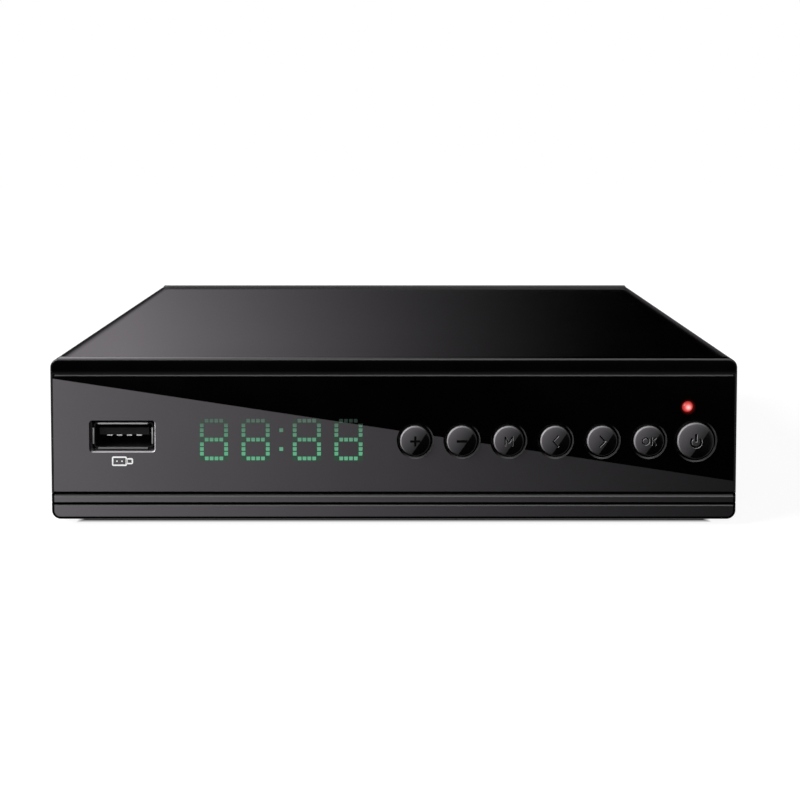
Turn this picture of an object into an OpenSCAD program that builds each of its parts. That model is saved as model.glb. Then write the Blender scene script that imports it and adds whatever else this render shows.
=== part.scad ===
// TV decoder box: a bent steel case with a moulded front, a dotted display, push buttons and sockets.
// The front faces -Y and +Z is up. The origin is on the floor, under the middle of the whole footprint.
// Heights named _z are measured from the underside of the case, depths from the front face.

/* [Case] */
// Width of the case
body_w = 150; // [146:0.5:170]
// Height of the case without its feet
body_h = 35.5; // [34.5:0.5:42]
// Depth of the case, from the front face to the rear wall
body_d = 95; // [92:0.5:120]
// Outer radius of the case's long edges
corner_r = 2; // [1.6:0.1:3]
// Thickness of the steel sheet
sheet_t = 0.8; // [0.6:0.1:1]
// Height of the rear wall's edge above the cover
rear_lip = 0.6; // [0.2:0.1:1]
// Height of the tray's side flanges
tray_side_h = 9; // [7:0.5:11]
// Width of the cover's inward flanges at the rear
cover_flange_w = 9; // [8:0.5:10]

/* [Feet] */
// Diameter of a rubber foot
foot_d = 10; // [8:0.5:12]
// Height of a rubber foot
foot_h = 1.5; // [1:0.1:3]
// Distance from the case's edges to the middle of a foot
foot_inset = 13; // [10:0.5:18]
// Chamfer round the underside of a foot
foot_chamfer = 0.5; // [0.2:0.1:0.8]

/* [Front panel] */
// Thickness of the bezel's outer flange
flange_t = 2; // [1.8:0.1:2.6]
// Rounding of the bezel's front edge
edge_r = 0.5; // [0.3:0.05:0.6]
// Thickness of the front from its face to the back of the bezel's plate
face_t = 3.2; // [2.8:0.1:4]
// Depth of the bezel's rim from the front face
rim_d = 9; // [7:0.5:11]
// Wall of the bezel's rim
rim_t = 1.6; // [1.2:0.1:2]
// Thickness of the fascia
fascia_t = 1.5; // [1.2:0.1:1.8]
// Height of the band above the fascia
fascia_top = 3.43; // [3:0.1:4]
// Height of the bands below the fascia
fascia_bottom = 5.9; // [5.4:0.1:6.5]
// Width of the bezel's edge beside the fascia
fascia_side = 0.6; // [0.55:0.05:1.5]
// Chamfer on the fascia's upper and lower edges
fascia_chamfer = 0.3; // [0.1:0.05:0.5]
// Width of the two grooves below the fascia
groove_w = 0.85; // [0.75:0.05:1]
// Depth of the two grooves
groove_depth = 0.6; // [0.3:0.05:1]
// Height of the sloping lip on the lower side of a groove
groove_lip = 0.55; // [0.3:0.05:0.65]
// Height of the strip between the grooves
strip_h = 1.15; // [0.9:0.05:1.5]

/* [Display] */
// Place of the display's middle from the left, as a share of the case's width
display_share = 0.336; // [0.33:0.001:0.34]
// Height of the middle of the digits
display_z = 17.7; // [16:0.1:20]
// Side of one square cell
cell = 0.86; // [0.7:0.02:0.92]
// Step between cells across a digit
cell_pitch_x = 1.06; // [1:0.02:1.2]
// Step between cells up a digit
cell_pitch_z = 1.04; // [1:0.02:1.2]
// Step between the digits of a pair
digit_pitch = 9.1; // [8.6:0.1:9.4]
// Extra room for the colon between the pairs
colon_room = 2.1; // [1.5:0.1:3]
// Border of the light guide round the digits
guide_margin = 1; // [0.6:0.1:1.4]
// Border of the display module round the digits
module_margin = 1.8; // [1.6:0.1:2.4]
// Thickness of the display module
module_t = 7.2; // [6.5:0.1:8]

/* [Buttons] */
// Distance from the case's right side to the power button
power_from_right = 9.1; // [8.8:0.1:10]
// Step between the buttons, as a share of the case's width
button_step = 0.068; // [0.066:0.001:0.07]
// Height of the row of buttons
button_z = 17.5; // [16.5:0.1:19]
// Radius of a small button's cap
button_r = 3.3; // [2.8:0.1:3.5]
// Radius of the power button's cap
power_r = 4; // [3.6:0.1:4.2]
// Gap between a cap and its hole
button_gap = 0.45; // [0.3:0.05:0.5]
// Chamfer round a button's hole in the fascia
ring_chamfer = 0.3; // [0.1:0.05:0.4]
// Height of a cap above the fascia
button_proud = 0.6; // [0.5:0.1:1.2]
// Bevel round a cap's face
button_bevel = 0.35; // [0.2:0.05:0.5]
// Crown in the middle of a cap's face
button_crown = 0.15; // [0.05:0.05:0.3]
// Width of the flange that keeps a cap behind the bezel
keeper_w = 0.45; // [0.4:0.05:0.6]
// Thickness of that flange
keeper_t = 0.8; // [0.6:0.1:1]
// Radius of a button's stem
stem_r = 1.5; // [1.2:0.1:1.6]
// Travel of a button
button_travel = 0.4; // [0.25:0.05:0.5]

/* [Switches] */
// Side of a switch body
switch_w = 6; // [5.6:0.1:6.4]
// Height of a switch with its cover plate
switch_h = 3.5; // [3.2:0.1:3.8]
// Thickness of a switch's cover plate
plate_t = 0.3; // [0.2:0.05:0.4]
// Radius of a switch's plunger
plunger_r = 1.7; // [1.4:0.1:1.9]
// Height of a plunger above its switch
plunger_h = 1.5; // [1.2:0.1:1.7]
// Length of a plunger inside its switch
plunger_in = 1.2; // [0.8:0.1:1.6]

/* [Lamp and receiver] */
// Distance from the case's right side to the standby lamp
lamp_from_right = 10.8; // [10:0.1:12]
// Height of the standby lamp and of the infrared receiver
lamp_z = 24.9; // [24:0.1:26]
// Radius of the lamp's body
lamp_r = 1.25; // [1:0.05:1.5]
// Height of the lamp's dome above the fascia
lamp_proud = 0.4; // [0.2:0.1:0.8]
// Length of the lamp's body behind the front face
lamp_len = 4.6; // [4.2:0.1:5]
// Width and height of the infrared receiver
receiver_w = 6; // [5:0.1:7]
// Radius of the receiver's window
receiver_r = 2.2; // [1.8:0.1:2.4]

/* [Memory stick port] */
// Distance from the case's left side to the middle of the port
port_from_left = 15.7; // [15:0.1:17]
// Height of the middle of the port
port_z = 18.4; // [17:0.1:20]
// Width inside the port's shell
port_w = 12.5; // [12.3:0.05:12.7]
// Height inside the port's shell
port_h = 5.1; // [4.9:0.05:5.3]
// Thickness of the port's shell
port_shell_t = 0.3; // [0.25:0.05:0.35]
// Distance from the front face back to the port's lips
port_setback = 0.45; // [0.3:0.05:0.8]
// Length of the port's four lips
port_lip_len = 0.7; // [0.5:0.05:1]
// Flare of those lips
port_flare = 0.05; // [0:0.05:0.2]
// Room between the port's shell and the cut-out round it
port_room = 0.45; // [0.35:0.05:0.6]
// Chamfer round that cut-out in the fascia
port_rim_chamfer = 0.25; // [0.1:0.05:0.4]
// Thickness of the port's tongue
tongue_t = 1.5; // [1.3:0.05:1.7]
// Distance from the lips back to the tongue's tip
tongue_setback = 1.2; // [0.6:0.1:1.5]
// Width of one contact
contact_w = 1.1; // [0.8:0.05:1.3]
// Thickness of one contact
contact_t = 0.3; // [0.2:0.05:0.4]
// Step between the contacts
contact_pitch = 2.15; // [2:0.05:2.4]

/* [Boards] */
// Thickness of both circuit boards
board_t = 1.6; // [1.2:0.1:2]
// Height of the main board above the tray
standoff_h = 5; // [4:0.5:6]
// Radius of a standoff
standoff_r = 2.6; // [2.2:0.1:3]
// Distance between the front and rear standoffs
standoff_pitch = 45; // [42:0.5:46]
// Distance from the front board back to the main board
board_step = 3; // [2.6:0.1:4]
// Gap between the main board and the tray's flanges
board_side_gap = 1; // [0.5:0.1:2]
// Height of the front board's lower edge above the main board
front_board_lift = 2; // [1.5:0.1:2.6]
// Radius of the bosses that carry the front board
boss_r = 2.2; // [1.9:0.1:2.3]
// Distance from the case's sides and top to those bosses
boss_inset = 7; // [6.5:0.1:7.6]
// Side of the processor
processor_w = 17; // [14:0.5:20]
// Side of the heat sink
sink_w = 22; // [20:0.5:24]
// Height of the heat sink
sink_h = 10; // [6:0.5:12]
// Number of fins on the heat sink
sink_fins = 7; // [4:1:8]
// Radius of a capacitor
capacitor_r = 3.6; // [3:0.1:4]
// Height of a capacitor
capacitor_h = 11; // [8:0.5:13]
// Number of pins between the boards
link_pins_n = 8; // [4:1:10]

/* [Rear sockets] */
// Reach of the antenna sockets beyond the rear wall
rear_reach = 9; // [8:0.1:12]
// Distance from the case's left side to the antenna input
antenna_from_left = 18; // [17.5:0.1:20]
// Step from the antenna input to its output
antenna_pitch = 16; // [14:0.1:18]
// Height of the antenna sockets above the board
antenna_lift = 8.5; // [8:0.1:9.5]
// Outer radius of the antenna input
antenna_in_r = 5.5; // [5.3:0.1:6]
// Outer radius of the antenna output
antenna_out_r = 4.75; // [4.5:0.05:4.9]
// Wall of the antenna sockets
antenna_wall = 0.7; // [0.5:0.05:0.8]
// Height of the tuner's can
tuner_h = 15; // [14.6:0.1:16]
// Depth of the tuner's can
tuner_d = 22; // [18:0.5:24]
// Distance from the middle of the case to the digital video socket
video_x = -18; // [-20:0.5:-17]
// Width inside the digital video socket
video_w = 14; // [13.8:0.1:14.2]
// Height inside the digital video socket
video_h = 4.6; // [4.4:0.1:4.8]
// Wall of the digital video socket
video_wall = 0.4; // [0.3:0.05:0.5]
// Depth of the digital video socket
video_d = 11.5; // [10:0.5:12]
// Distance from the middle of the case to the middle phono socket
av_x = 18; // [17:0.5:20]
// Step between the phono sockets
av_pitch = 14; // [13:0.5:15]
// Height of the phono sockets above the board
av_lift = 9; // [8.5:0.1:10]
// Outer radius of a phono socket's sleeve
av_sleeve_r = 4.15; // [4.1:0.05:4.2]
// Reach of a phono socket's sleeve beyond the rear wall
av_reach = 8.5; // [8:0.1:9]
// Outer radius of a phono socket's coloured insert
av_insert_r = 5.3; // [5.2:0.1:5.6]
// Distance from the case's right side to the direct current inlet
inlet_from_right = 18; // [17.5:0.1:20]
// Height of the inlet above the board
inlet_lift = 5.7; // [5.4:0.1:6.5]
// Radius of the inlet's bore
inlet_bore_r = 3.15; // [3:0.05:3.25]
// Radius of the inlet's pin
inlet_pin_r = 1; // [0.8:0.05:1.2]
// Outer radius of the inlet's snout
inlet_r = 4.4; // [4.2:0.1:4.6]
// Depth of the inlet's body
inlet_d = 13.5; // [12:0.5:14]

/* [Vents and screws] */
// Number of slots in each side of the cover
side_vents = 12; // [6:1:12]
// Step between the side slots
side_vent_pitch = 4.5; // [3.5:0.1:5]
// Width of a vent slot
vent_w = 1.8; // [1.4:0.1:2.2]
// Height of a side slot
side_vent_h = 12; // [8:0.5:14]
// Number of slots in each row of the floor
floor_vents = 9; // [5:1:11]
// Step between the floor slots
floor_vent_pitch = 6; // [5:0.5:7]
// Length of a floor slot
floor_vent_l = 16; // [10:0.5:18]
// Distance from the middle of the floor to each row of slots
floor_vent_step = 11.2; // [10:0.1:14]
// Radius of a screw's head
head_r = 2.4; // [2.1:0.1:2.6]
// Height of a screw's head
head_h = 1.4; // [1:0.1:1.6]
// Radius of a screw's shank
shank_r = 1.1; // [0.9:0.05:1.2]
// Distance from the case's sides to the bezel's screws
bezel_screw_inset = 25; // [22:0.5:30]
// Distance from the case's sides to the cover's screws
cover_screw_inset = 5.5; // [5:0.1:6]

/* [Clearances] */
// Gap between sheet parts that slide together
fit_gap = 0.15; // [0.1:0.05:0.25]
// Gap between pressed or moulded parts
slip_gap = 0.05; // [0.03:0.01:0.08]
// Gap round a part in a plain opening
part_gap = 0.3; // [0.2:0.05:0.4]

/* [Hidden] */
$fn = 64;
over = 1;
BLACK_PAINT = [0.09, 0.09, 0.09];
BLACK_PLASTIC = [0.07, 0.07, 0.07];
GRAPHITE = [0.24, 0.23, 0.24];
DARK_CAP = [0.2, 0.2, 0.2];
GREEN_GLOW = [0.4, 0.62, 0.5];
RED_GLOW = [0.9, 0.15, 0.12];
STEEL = [0.72, 0.72, 0.74];
BOARD_GREEN = [0.1, 0.36, 0.2];
CREAM = [0.86, 0.84, 0.78];
GOLD = [0.83, 0.68, 0.36];
RUBBER = [0.13, 0.13, 0.13];
ALUMINIUM = [0.8, 0.81, 0.82];
YELLOW = [0.93, 0.78, 0.12];
WHITE = [0.93, 0.93, 0.92];
RED = [0.78, 0.1, 0.1];

// Planes of the case
front_proud = max(button_proud, lamp_proud);
front_y = (front_proud - body_d - max(rear_reach, av_reach)) / 2;
rear_y = front_y + body_d;
wall_y = rear_y - sheet_t;
inset = sheet_t + fit_gap;
cover_d = body_d - flange_t - 2 * fit_gap - sheet_t;

// Front panel
fascia_w = body_w - 2 * fascia_side - 2 * slip_gap;
fascia_h = body_h - fascia_top - fascia_bottom;
rim_in = inset + rim_t;
rim_corner_r = 0.4;
boss_sink = 0.6;
bezel_boss_z = rim_in + boss_r - boss_sink;
tab_w = 10;
tab_h = 4;

// Display: six columns by nine rows for each of four digits, and a colon of two cells
columns = 6;
rows = 9;
digit_cells = concat(
    [for (row = [0, 4, 8], col = [1 : columns - 2]) [col, row]],
    [for (col = [0, columns - 1], row = [1, 2, 3, 5, 6, 7]) [col, row]]
);
digit_x = [for (d = [-1.5 : 1 : 1.5]) d * digit_pitch + sign(d) * colon_room / 2];
cells = concat(
    [for (x = digit_x, c = digit_cells)
        [x + (c[0] - (columns - 1) / 2) * cell_pitch_x, (c[1] - (rows - 1) / 2) * cell_pitch_z]],
    [for (row = [-2, 2]) [0, row * cell_pitch_z]]
);
display_x = (display_share - 1 / 2) * body_w;
display_w = 3 * digit_pitch + colon_room + (columns - 1) * cell_pitch_x + cell;
display_h = (rows - 1) * cell_pitch_z + cell;
module_w = display_w + 2 * module_margin;
module_h = display_h + 2 * module_margin;

// Buttons, from the left: plus, minus, menu, left, right, ok, power
buttons = 7;
power_x = body_w / 2 - power_from_right;
button_pitch = button_step * body_w;
button_x = [for (k = [0 : buttons - 1]) power_x - (buttons - 1 - k) * button_pitch];
cap_r = [for (k = [0 : buttons - 1]) k == buttons - 1 ? power_r : button_r];
crown_steps = 4;

// Front board
front_board_y = face_t + module_t;
front_board_back = front_board_y + board_t;
board_top = sheet_t + standoff_h + board_t;
front_board_z = board_top + front_board_lift;
front_board_w = body_w - 2 * rim_in - 2 * part_gap;
front_board_h = body_h - rim_in - part_gap - front_board_z;
boss_x = body_w / 2 - boss_inset;
boss_low = front_board_z + boss_r + part_gap;
bosses = [
    [-boss_x, body_h - boss_inset],
    [boss_x, body_h - boss_inset],
    [-boss_x, boss_low],
    [power_x - button_pitch / 2, boss_low]
];
pilot_r = shank_r + slip_gap;
lamp_x = body_w / 2 - lamp_from_right;
lamp_flange_t = 0.9;
lamp_flange_w = 0.4;
lead_w = 0.5;
lead_pitch = 1.6;
receiver_x = display_x + module_w / 2 + part_gap + receiver_w / 2;
receiver_t = 3.4;

// Memory stick port
port_x = port_from_left - body_w / 2;
port_out_w = port_w + 2 * port_shell_t;
port_out_h = port_h + 2 * port_shell_t;
port_corner_r = 0.8;
port_cut_r = 0.5;
port_cut_w = port_out_w + 2 * port_room;
port_cut_h = port_out_h + 2 * port_room;
tongue_y = port_setback + tongue_setback;
tongue_gap = 1.1;
tongue_base = 1.6;
tongue_z = port_h / 2 - tongue_gap - tongue_t;

// Main board
main_w = body_w - 2 * (inset + sheet_t + board_side_gap);
main_y = front_board_back + board_step;
main_d = body_d - sheet_t - part_gap - main_y;
standoff_inset = 6;
standoffs = [
    for (side = [-1, 1], row = [0, 1])
        [side * (main_w / 2 - standoff_inset), main_y + standoff_inset + row * standoff_pitch]
];
chip_step = 32;
part_step = 21;
chip_row = main_y + chip_step;
part_row = main_y + part_step;
chip_t = 1.5;
sink_base = 2;
fin_t = 1;
memory_x = -22;
memory_pitch = 13;
memory_w = 9;
memory_d = 13;
flash_x = 20;
flash_w = 6;
flash_d = 8;
crystal_w = 4.6;
crystal_l = 11;
crystal_h = 3.5;
capacitors_n = 3;
capacitor_share = 0.2215;
capacitor_x = capacitor_share * main_w;
capacitor_pitch = 9.5;
capacitor_foot = 1.2;
capacitor_roll = 0.3;
coil_share = 0.2353;
coil_x = coil_share * main_w;
coil_pitch = 12;
coil_w = 8;
coil_base = 1.4;
coil_r = 3.4;
coil_h = 4.6;
link_pitch = 2.54;
link_w = 0.64;
link_block = 2.5;
link_bend = 5;
link_drop = front_board_lift + part_gap + link_block / 2;

// Rear sockets
socket_back = body_d - sheet_t - part_gap;
antenna_x = [antenna_from_left - body_w / 2, antenna_from_left - body_w / 2 + antenna_pitch];
antenna_z = board_top + antenna_lift;
antenna_l = rear_reach + sheet_t + part_gap;
antenna_collar = 1.2;
antenna_floor = 1.5;
antenna_bush_r = 2.6;
antenna_contact_r = 1.9;
antenna_pin_r = 1.2;
tuner_border = 2.2;
tuner_wall = 0.6;
tuner_w = antenna_pitch + 2 * (antenna_in_r + tuner_border);
video_z = board_top + video_h / 2 + video_wall;
video_proud = 0.6;
video_chamfer = 1.4;
video_tongue_t = 1.2;
video_tongue_w = 10.4;
video_tongue_l = 6.4;
av_z = board_top + av_lift;
av_base = 1.5;
av_collar = 0.8;
av_collar_w = 0.45;
av_bore_r = 1.6;
av_core_r = 3.3;
av_y = body_d - sheet_t - part_gap - av_base;
av_collar_y = body_d + av_collar - av_y;
av_tip_y = body_d + av_reach - av_y;
av_block_d = 9;
av_border = 0.6;
av_block_h = av_lift + av_insert_r + av_border;
inlet_x = body_w / 2 - inlet_from_right;
inlet_z = board_top + inlet_lift;
inlet_proud = 0.4;
inlet_bore_d = 9.5;
inlet_pin_l = 8.6;
inlet_border = 0.2;

// Screws
cover_screw_low = 5;
cover_screw_top = 7;
cover_screw_z = [tray_side_h + cover_screw_low, body_h - cover_screw_top];
shank_l = 5;
head_round = 0.5;
recess_w = 0.6;
recess_l = 2.6;
recess_d = 0.8;
bezel_screw_x = body_w / 2 - bezel_screw_inset;

// Places a piece at x across the front, y behind the front face and z above the underside of the case
module at(x, y, z) translate([x, front_y + y, foot_h + z]) children();

// Extrudes an outline drawn in x and z towards the rear
module slab(t) translate([0, t, 0]) rotate([90, 0, 0]) linear_extrude(t) children();

// Extrudes a section drawn in y and z across the case
module across(w) rotate([90, 0, 90]) linear_extrude(w, center = true) children();

// Turns a profile drawn in radius and depth about an axis that points to the rear
module turned() rotate([-90, 0, 0]) rotate_extrude() children();

// Round bar that points to the rear
module bar(r, l) rotate([-90, 0, 0]) cylinder(r = r, h = l);

// Rectangle about the origin with round corners
module round_rect(w, h, r) {
    square([w - 2 * r, h], center = true);
    square([w, h - 2 * r], center = true);
    for (x = [-1, 1], y = [-1, 1])
        translate([x * (w / 2 - r), y * (h / 2 - r)]) circle(r);
}

// Slot about the origin with round ends
module slot(w, l) {
    square([w, l - w], center = true);
    for (y = [-1, 1])
        translate([0, y * (l - w) / 2]) circle(d = w);
}

// Section through the edge of a plate whose front edge is rounded
module edge_section(r, t, e) {
    square([r - e, t]);
    square([r, t - e]);
    translate([r - e, t - e]) circle(e);
}

// Plate with round corners and a rounded front edge, made of a middle, four edges and four turned corners
module soft_plate(w, h, t, r, e) {
    translate([0, t, 0]) rotate([90, 0, 0]) {
        translate([r - w / 2, r - h / 2, 0]) cube([w - 2 * r, h - 2 * r, t]);
        for (q = [0 : 3]) {
            reach = (q % 2 == 0 ? w : h) / 2 - r;
            half = (q % 2 == 0 ? h : w) / 2 - r;
            rotate([0, 0, 90 * q]) translate([reach, half, 0]) {
                rotate_extrude(angle = 90) edge_section(r, t, e);
                rotate([90, 0, 0]) linear_extrude(2 * half) edge_section(r, t, e);
            }
        }
    }
}

// Outline of the inside of the case at a distance from its outer skin
module case_outline(gap) {
    translate([0, body_h / 2])
        round_rect(body_w - 2 * gap, body_h - 2 * gap, max(corner_r - gap, rim_corner_r));
}

// Outline of the cover at a distance from its outer skin, down to a lower edge
module cover_section(gap, low) {
    translate([gap - body_w / 2, low]) square([body_w - 2 * gap, body_h - corner_r - low]);
    translate([corner_r - body_w / 2, low]) square([body_w - 2 * corner_r, body_h - gap - low]);
    for (x = [-1, 1])
        translate([x * (body_w / 2 - corner_r), body_h - corner_r]) circle(corner_r - gap);
}

// Pan head screw with a cross recess, whose head sits at y = 0 and whose shank points to the front
module screw() difference() {
    turned() polygon([
        [0, -shank_l],
        [shank_r, -shank_l],
        [shank_r, 0],
        [head_r, 0],
        [head_r, head_h - head_round],
        [head_r - head_round, head_h],
        [0, head_h]
    ]);
    for (turn = [0, 90])
        rotate([0, turn, 0]) translate([0, head_h, 0])
            cube([recess_l, 2 * recess_d, recess_w], center = true);
}

// Steel cover: top and sides in one bent sheet, with flanges turned in at the rear
module top_cover() color(BLACK_PAINT) difference() {
    union() {
        at(0, flange_t + fit_gap, 0) slab(cover_d) difference() {
            cover_section(0, 0);
            cover_section(sheet_t, -over);
        }
        for (side = [-1, 1])
            at(side * (body_w - cover_flange_w - sheet_t) / 2, body_d - inset - sheet_t, 0)
                translate([-(cover_flange_w + sheet_t) / 2, 0, tray_side_h + part_gap])
                    cube([cover_flange_w + sheet_t, sheet_t, body_h - tray_side_h - part_gap - corner_r]);
    }
    for (k = [0 : side_vents - 1])
        at(0, body_d / 2 + (k - (side_vents - 1) / 2) * side_vent_pitch, body_h / 2)
            across(body_w + 2 * over) slot(vent_w, side_vent_h);
    for (x = [-1, 1], z = cover_screw_z)
        at(x * (body_w / 2 - cover_screw_inset), body_d - inset - sheet_t - over, z)
            bar(pilot_r, sheet_t + 2 * over);
}

// Holes for the sockets in the rear wall
module socket_holes(t) {
    for (x = antenna_x)
        at(x, body_d - t, antenna_z) bar(antenna_in_r + part_gap, 2 * t);
    for (k = [-1 : 1])
        at(av_x + k * av_pitch, body_d - t, av_z) bar(av_insert_r + part_gap, 2 * t);
    at(inlet_x, body_d - t, inlet_z) bar(inlet_r + part_gap, 2 * t);
    at(video_x, body_d - t, video_z) slab(2 * t) video_outline(video_wall + part_gap);
    for (x = [-1, 1], z = cover_screw_z)
        at(x * (body_w / 2 - cover_screw_inset), body_d - t, z) bar(pilot_r, 2 * t);
}

// Edge of the rear wall above the cover, whose ends slope into the cover's bends
module rear_lip_section() {
    end_x = body_w / 2 - corner_r;
    root = (corner_r - sheet_t / 2) * sin(45);
    polygon([
        [-end_x, body_h + rear_lip],
        [end_x, body_h + rear_lip],
        [end_x + root, body_h - corner_r + root],
        [-end_x - root, body_h - corner_r + root]
    ]);
}

// Steel tray: floor, rear wall, side flanges, standoffs for the main board and tabs for the bezel
module chassis_tray() color(BLACK_PAINT) difference() {
    union() {
        at(0, flange_t + fit_gap, 0) translate([inset - body_w / 2, 0, 0])
            cube([body_w - 2 * inset, body_d - flange_t - fit_gap, sheet_t]);
        at(0, body_d - sheet_t, 0) slab(sheet_t) {
            cover_section(0, 0);
            rear_lip_section();
        }
        for (side = [-1, 1])
            at(side * (body_w / 2 - inset - sheet_t / 2), rim_d + part_gap, 0)
                translate([-sheet_t / 2, 0, 0])
                    cube([sheet_t, body_d - rim_d - part_gap - sheet_t / 2, tray_side_h]);
        for (s = standoffs)
            at(s[0], s[1], 0) cylinder(r = standoff_r, h = sheet_t + standoff_h);
        for (side = [-1, 1])
            at(side * bezel_screw_x - tab_w / 2, front_board_back, 0)
                cube([tab_w, sheet_t, bezel_boss_z + tab_h]);
    }
    socket_holes(sheet_t + over);
    for (s = standoffs)
        at(s[0], s[1], -over) cylinder(r = pilot_r, h = standoff_h + sheet_t + 2 * over);
    for (side = [-1, 1]) {
        at(side * bezel_screw_x, front_board_back - over, bezel_boss_z) bar(pilot_r, sheet_t + 2 * over);
        at(side * bezel_screw_x - tab_w / 2, front_board_back + sheet_t, -over)
            cube([tab_w, bezel_boss_z + tab_h, sheet_t + 2 * over]);
    }
    for (row = [-1, 1], k = [0 : floor_vents - 1])
        at((k - (floor_vents - 1) / 2) * floor_vent_pitch, body_d / 2 + row * floor_vent_step, -over)
            linear_extrude(sheet_t + 2 * over) slot(vent_w, floor_vent_l);
}

// Four stick-on feet
module rubber_feet() color(RUBBER)
    for (x = [-1, 1], y = [foot_inset, body_d - foot_inset])
        at(x * (body_w / 2 - foot_inset), y, -foot_h) rotate_extrude()
            polygon([
                [0, 0],
                [foot_d / 2 - foot_chamfer, 0],
                [foot_d / 2, foot_chamfer],
                [foot_d / 2, foot_h],
                [0, foot_h]
            ]);

// Four screws through the rear wall into the cover's flanges
module cover_screws() color(STEEL)
    for (x = [-1, 1], z = cover_screw_z)
        at(x * (body_w / 2 - cover_screw_inset), body_d, z) screw();

// Section of a groove: a straight upper wall and a sloping lower lip
module groove_section() {
    polygon([
        [-over, 0],
        [groove_depth, 0],
        [groove_depth, groove_lip - groove_w],
        [0, -groove_w],
        [-over, -groove_w]
    ]);
}

// Round holes for the caps
module button_holes(y, t) {
    for (k = [0 : buttons - 1])
        at(button_x[k], y, button_z) bar(cap_r[k] + button_gap, t);
}

// Cut-out round the memory stick port
module port_cut(y, t) {
    at(port_x, y, port_z) slab(t) round_rect(port_cut_w, port_cut_h, port_cut_r);
}

// Chamfer round the front of that cut-out: four straight sides and four turned corners
module port_rim() at(port_x, 0, port_z) {
    for (turn = [0 : 3]) {
        reach = (turn % 2 == 0 ? port_cut_h : port_cut_w) / 2;
        width = (turn % 2 == 0 ? port_cut_w : port_cut_h) - 2 * port_cut_r;
        rotate([0, 90 * turn, 0]) translate([0, 0, reach]) across(width)
            polygon([
                [-over, -port_cut_r],
                [-over, port_rim_chamfer + over],
                [port_rim_chamfer, 0],
                [port_rim_chamfer, -port_cut_r]
            ]);
    }
    for (x = [-1, 1], z = [-1, 1])
        translate([x * (port_cut_w / 2 - port_cut_r), 0, z * (port_cut_h / 2 - port_cut_r)]) turned()
            polygon([
                [0, -over],
                [port_cut_r + port_rim_chamfer + over, -over],
                [port_cut_r, port_rim_chamfer],
                [0, port_rim_chamfer]
            ]);
}

// Moulded bezel: outer flange, plate with openings, rim inside the cover and bosses
module front_bezel() color(BLACK_PLASTIC) difference() {
    union() {
        at(0, 0, body_h / 2) soft_plate(body_w, body_h, flange_t, corner_r, edge_r);
        at(0, flange_t / 2, 0) slab(face_t - flange_t / 2) case_outline(inset);
        at(0, flange_t / 2, 0) slab(rim_d - flange_t / 2) difference() {
            case_outline(inset);
            case_outline(rim_in);
        }
        for (b = bosses)
            at(b[0], face_t - over, b[1]) bar(boss_r, module_t + over);
        for (side = [-1, 1])
            at(side * bezel_screw_x, face_t - over, bezel_boss_z)
                bar(boss_r, front_board_back - face_t + over);
    }
    at(0, -over, fascia_bottom) translate([fascia_side - body_w / 2, 0, 0])
        cube([body_w - 2 * fascia_side, fascia_t + over, fascia_h]);
    at(0, 0, fascia_bottom) across(body_w + 2 * over) groove_section();
    at(0, 0, fascia_bottom - groove_w - strip_h) across(body_w + 2 * over) groove_section();
    button_holes(0, face_t + over);
    port_cut(0, face_t + over);
    at(display_x, 0, display_z) translate([0, (face_t + over) / 2, 0])
        cube([
            display_w + 2 * (guide_margin + slip_gap),
            face_t + over,
            display_h + 2 * (guide_margin + slip_gap)
        ], center = true);
    at(lamp_x, 0, lamp_z) bar(lamp_r + slip_gap, face_t + over);
    at(receiver_x, 0, lamp_z) bar(receiver_r + part_gap, face_t + over);
    for (b = bosses)
        at(b[0], face_t, b[1]) bar(pilot_r, module_t + over);
    for (side = [-1, 1])
        at(side * bezel_screw_x, face_t, bezel_boss_z) bar(pilot_r, front_board_back - face_t + over);
}

// Printed gloss fascia with holes for every cell, cap, lamp and port
module fascia_panel() color(GRAPHITE) difference() {
    at(0, 0, fascia_bottom + slip_gap) across(fascia_w)
        polygon([
            [0, fascia_chamfer],
            [fascia_chamfer, 0],
            [fascia_t, 0],
            [fascia_t, fascia_h - 2 * slip_gap],
            [fascia_chamfer, fascia_h - 2 * slip_gap],
            [0, fascia_h - 2 * slip_gap - fascia_chamfer]
        ]);
    button_holes(-over, fascia_t + 2 * over);
    for (k = [0 : buttons - 1])
        at(button_x[k], 0, button_z) turned()
            polygon([
                [0, -over],
                [cap_r[k] + button_gap + ring_chamfer + over, -over],
                [cap_r[k] + button_gap, ring_chamfer],
                [0, ring_chamfer]
            ]);
    port_cut(-over, fascia_t + 2 * over);
    port_rim();
    at(lamp_x, -over, lamp_z) bar(lamp_r + slip_gap, fascia_t + 2 * over);
    for (c = cells)
        at(display_x + c[0], 0, display_z + c[1])
            cube([cell, 2 * (fascia_t + over), cell], center = true);
}

// Clear green light guide: a plate behind the fascia with one stud for each cell
module display_light_guide() color(GREEN_GLOW) {
    at(display_x, (fascia_t + face_t) / 2, display_z)
        cube([display_w + 2 * guide_margin, face_t - fascia_t, display_h + 2 * guide_margin], center = true);
    for (c = cells)
        at(display_x + c[0], face_t / 2, display_z + c[1])
            cube([cell - 2 * slip_gap, face_t, cell - 2 * slip_gap], center = true);
}

// Display module on the front board
module display_module() color(CREAM)
    at(display_x - module_w / 2, face_t, display_z - module_h / 2) cube([module_w, module_t, module_h]);

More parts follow.
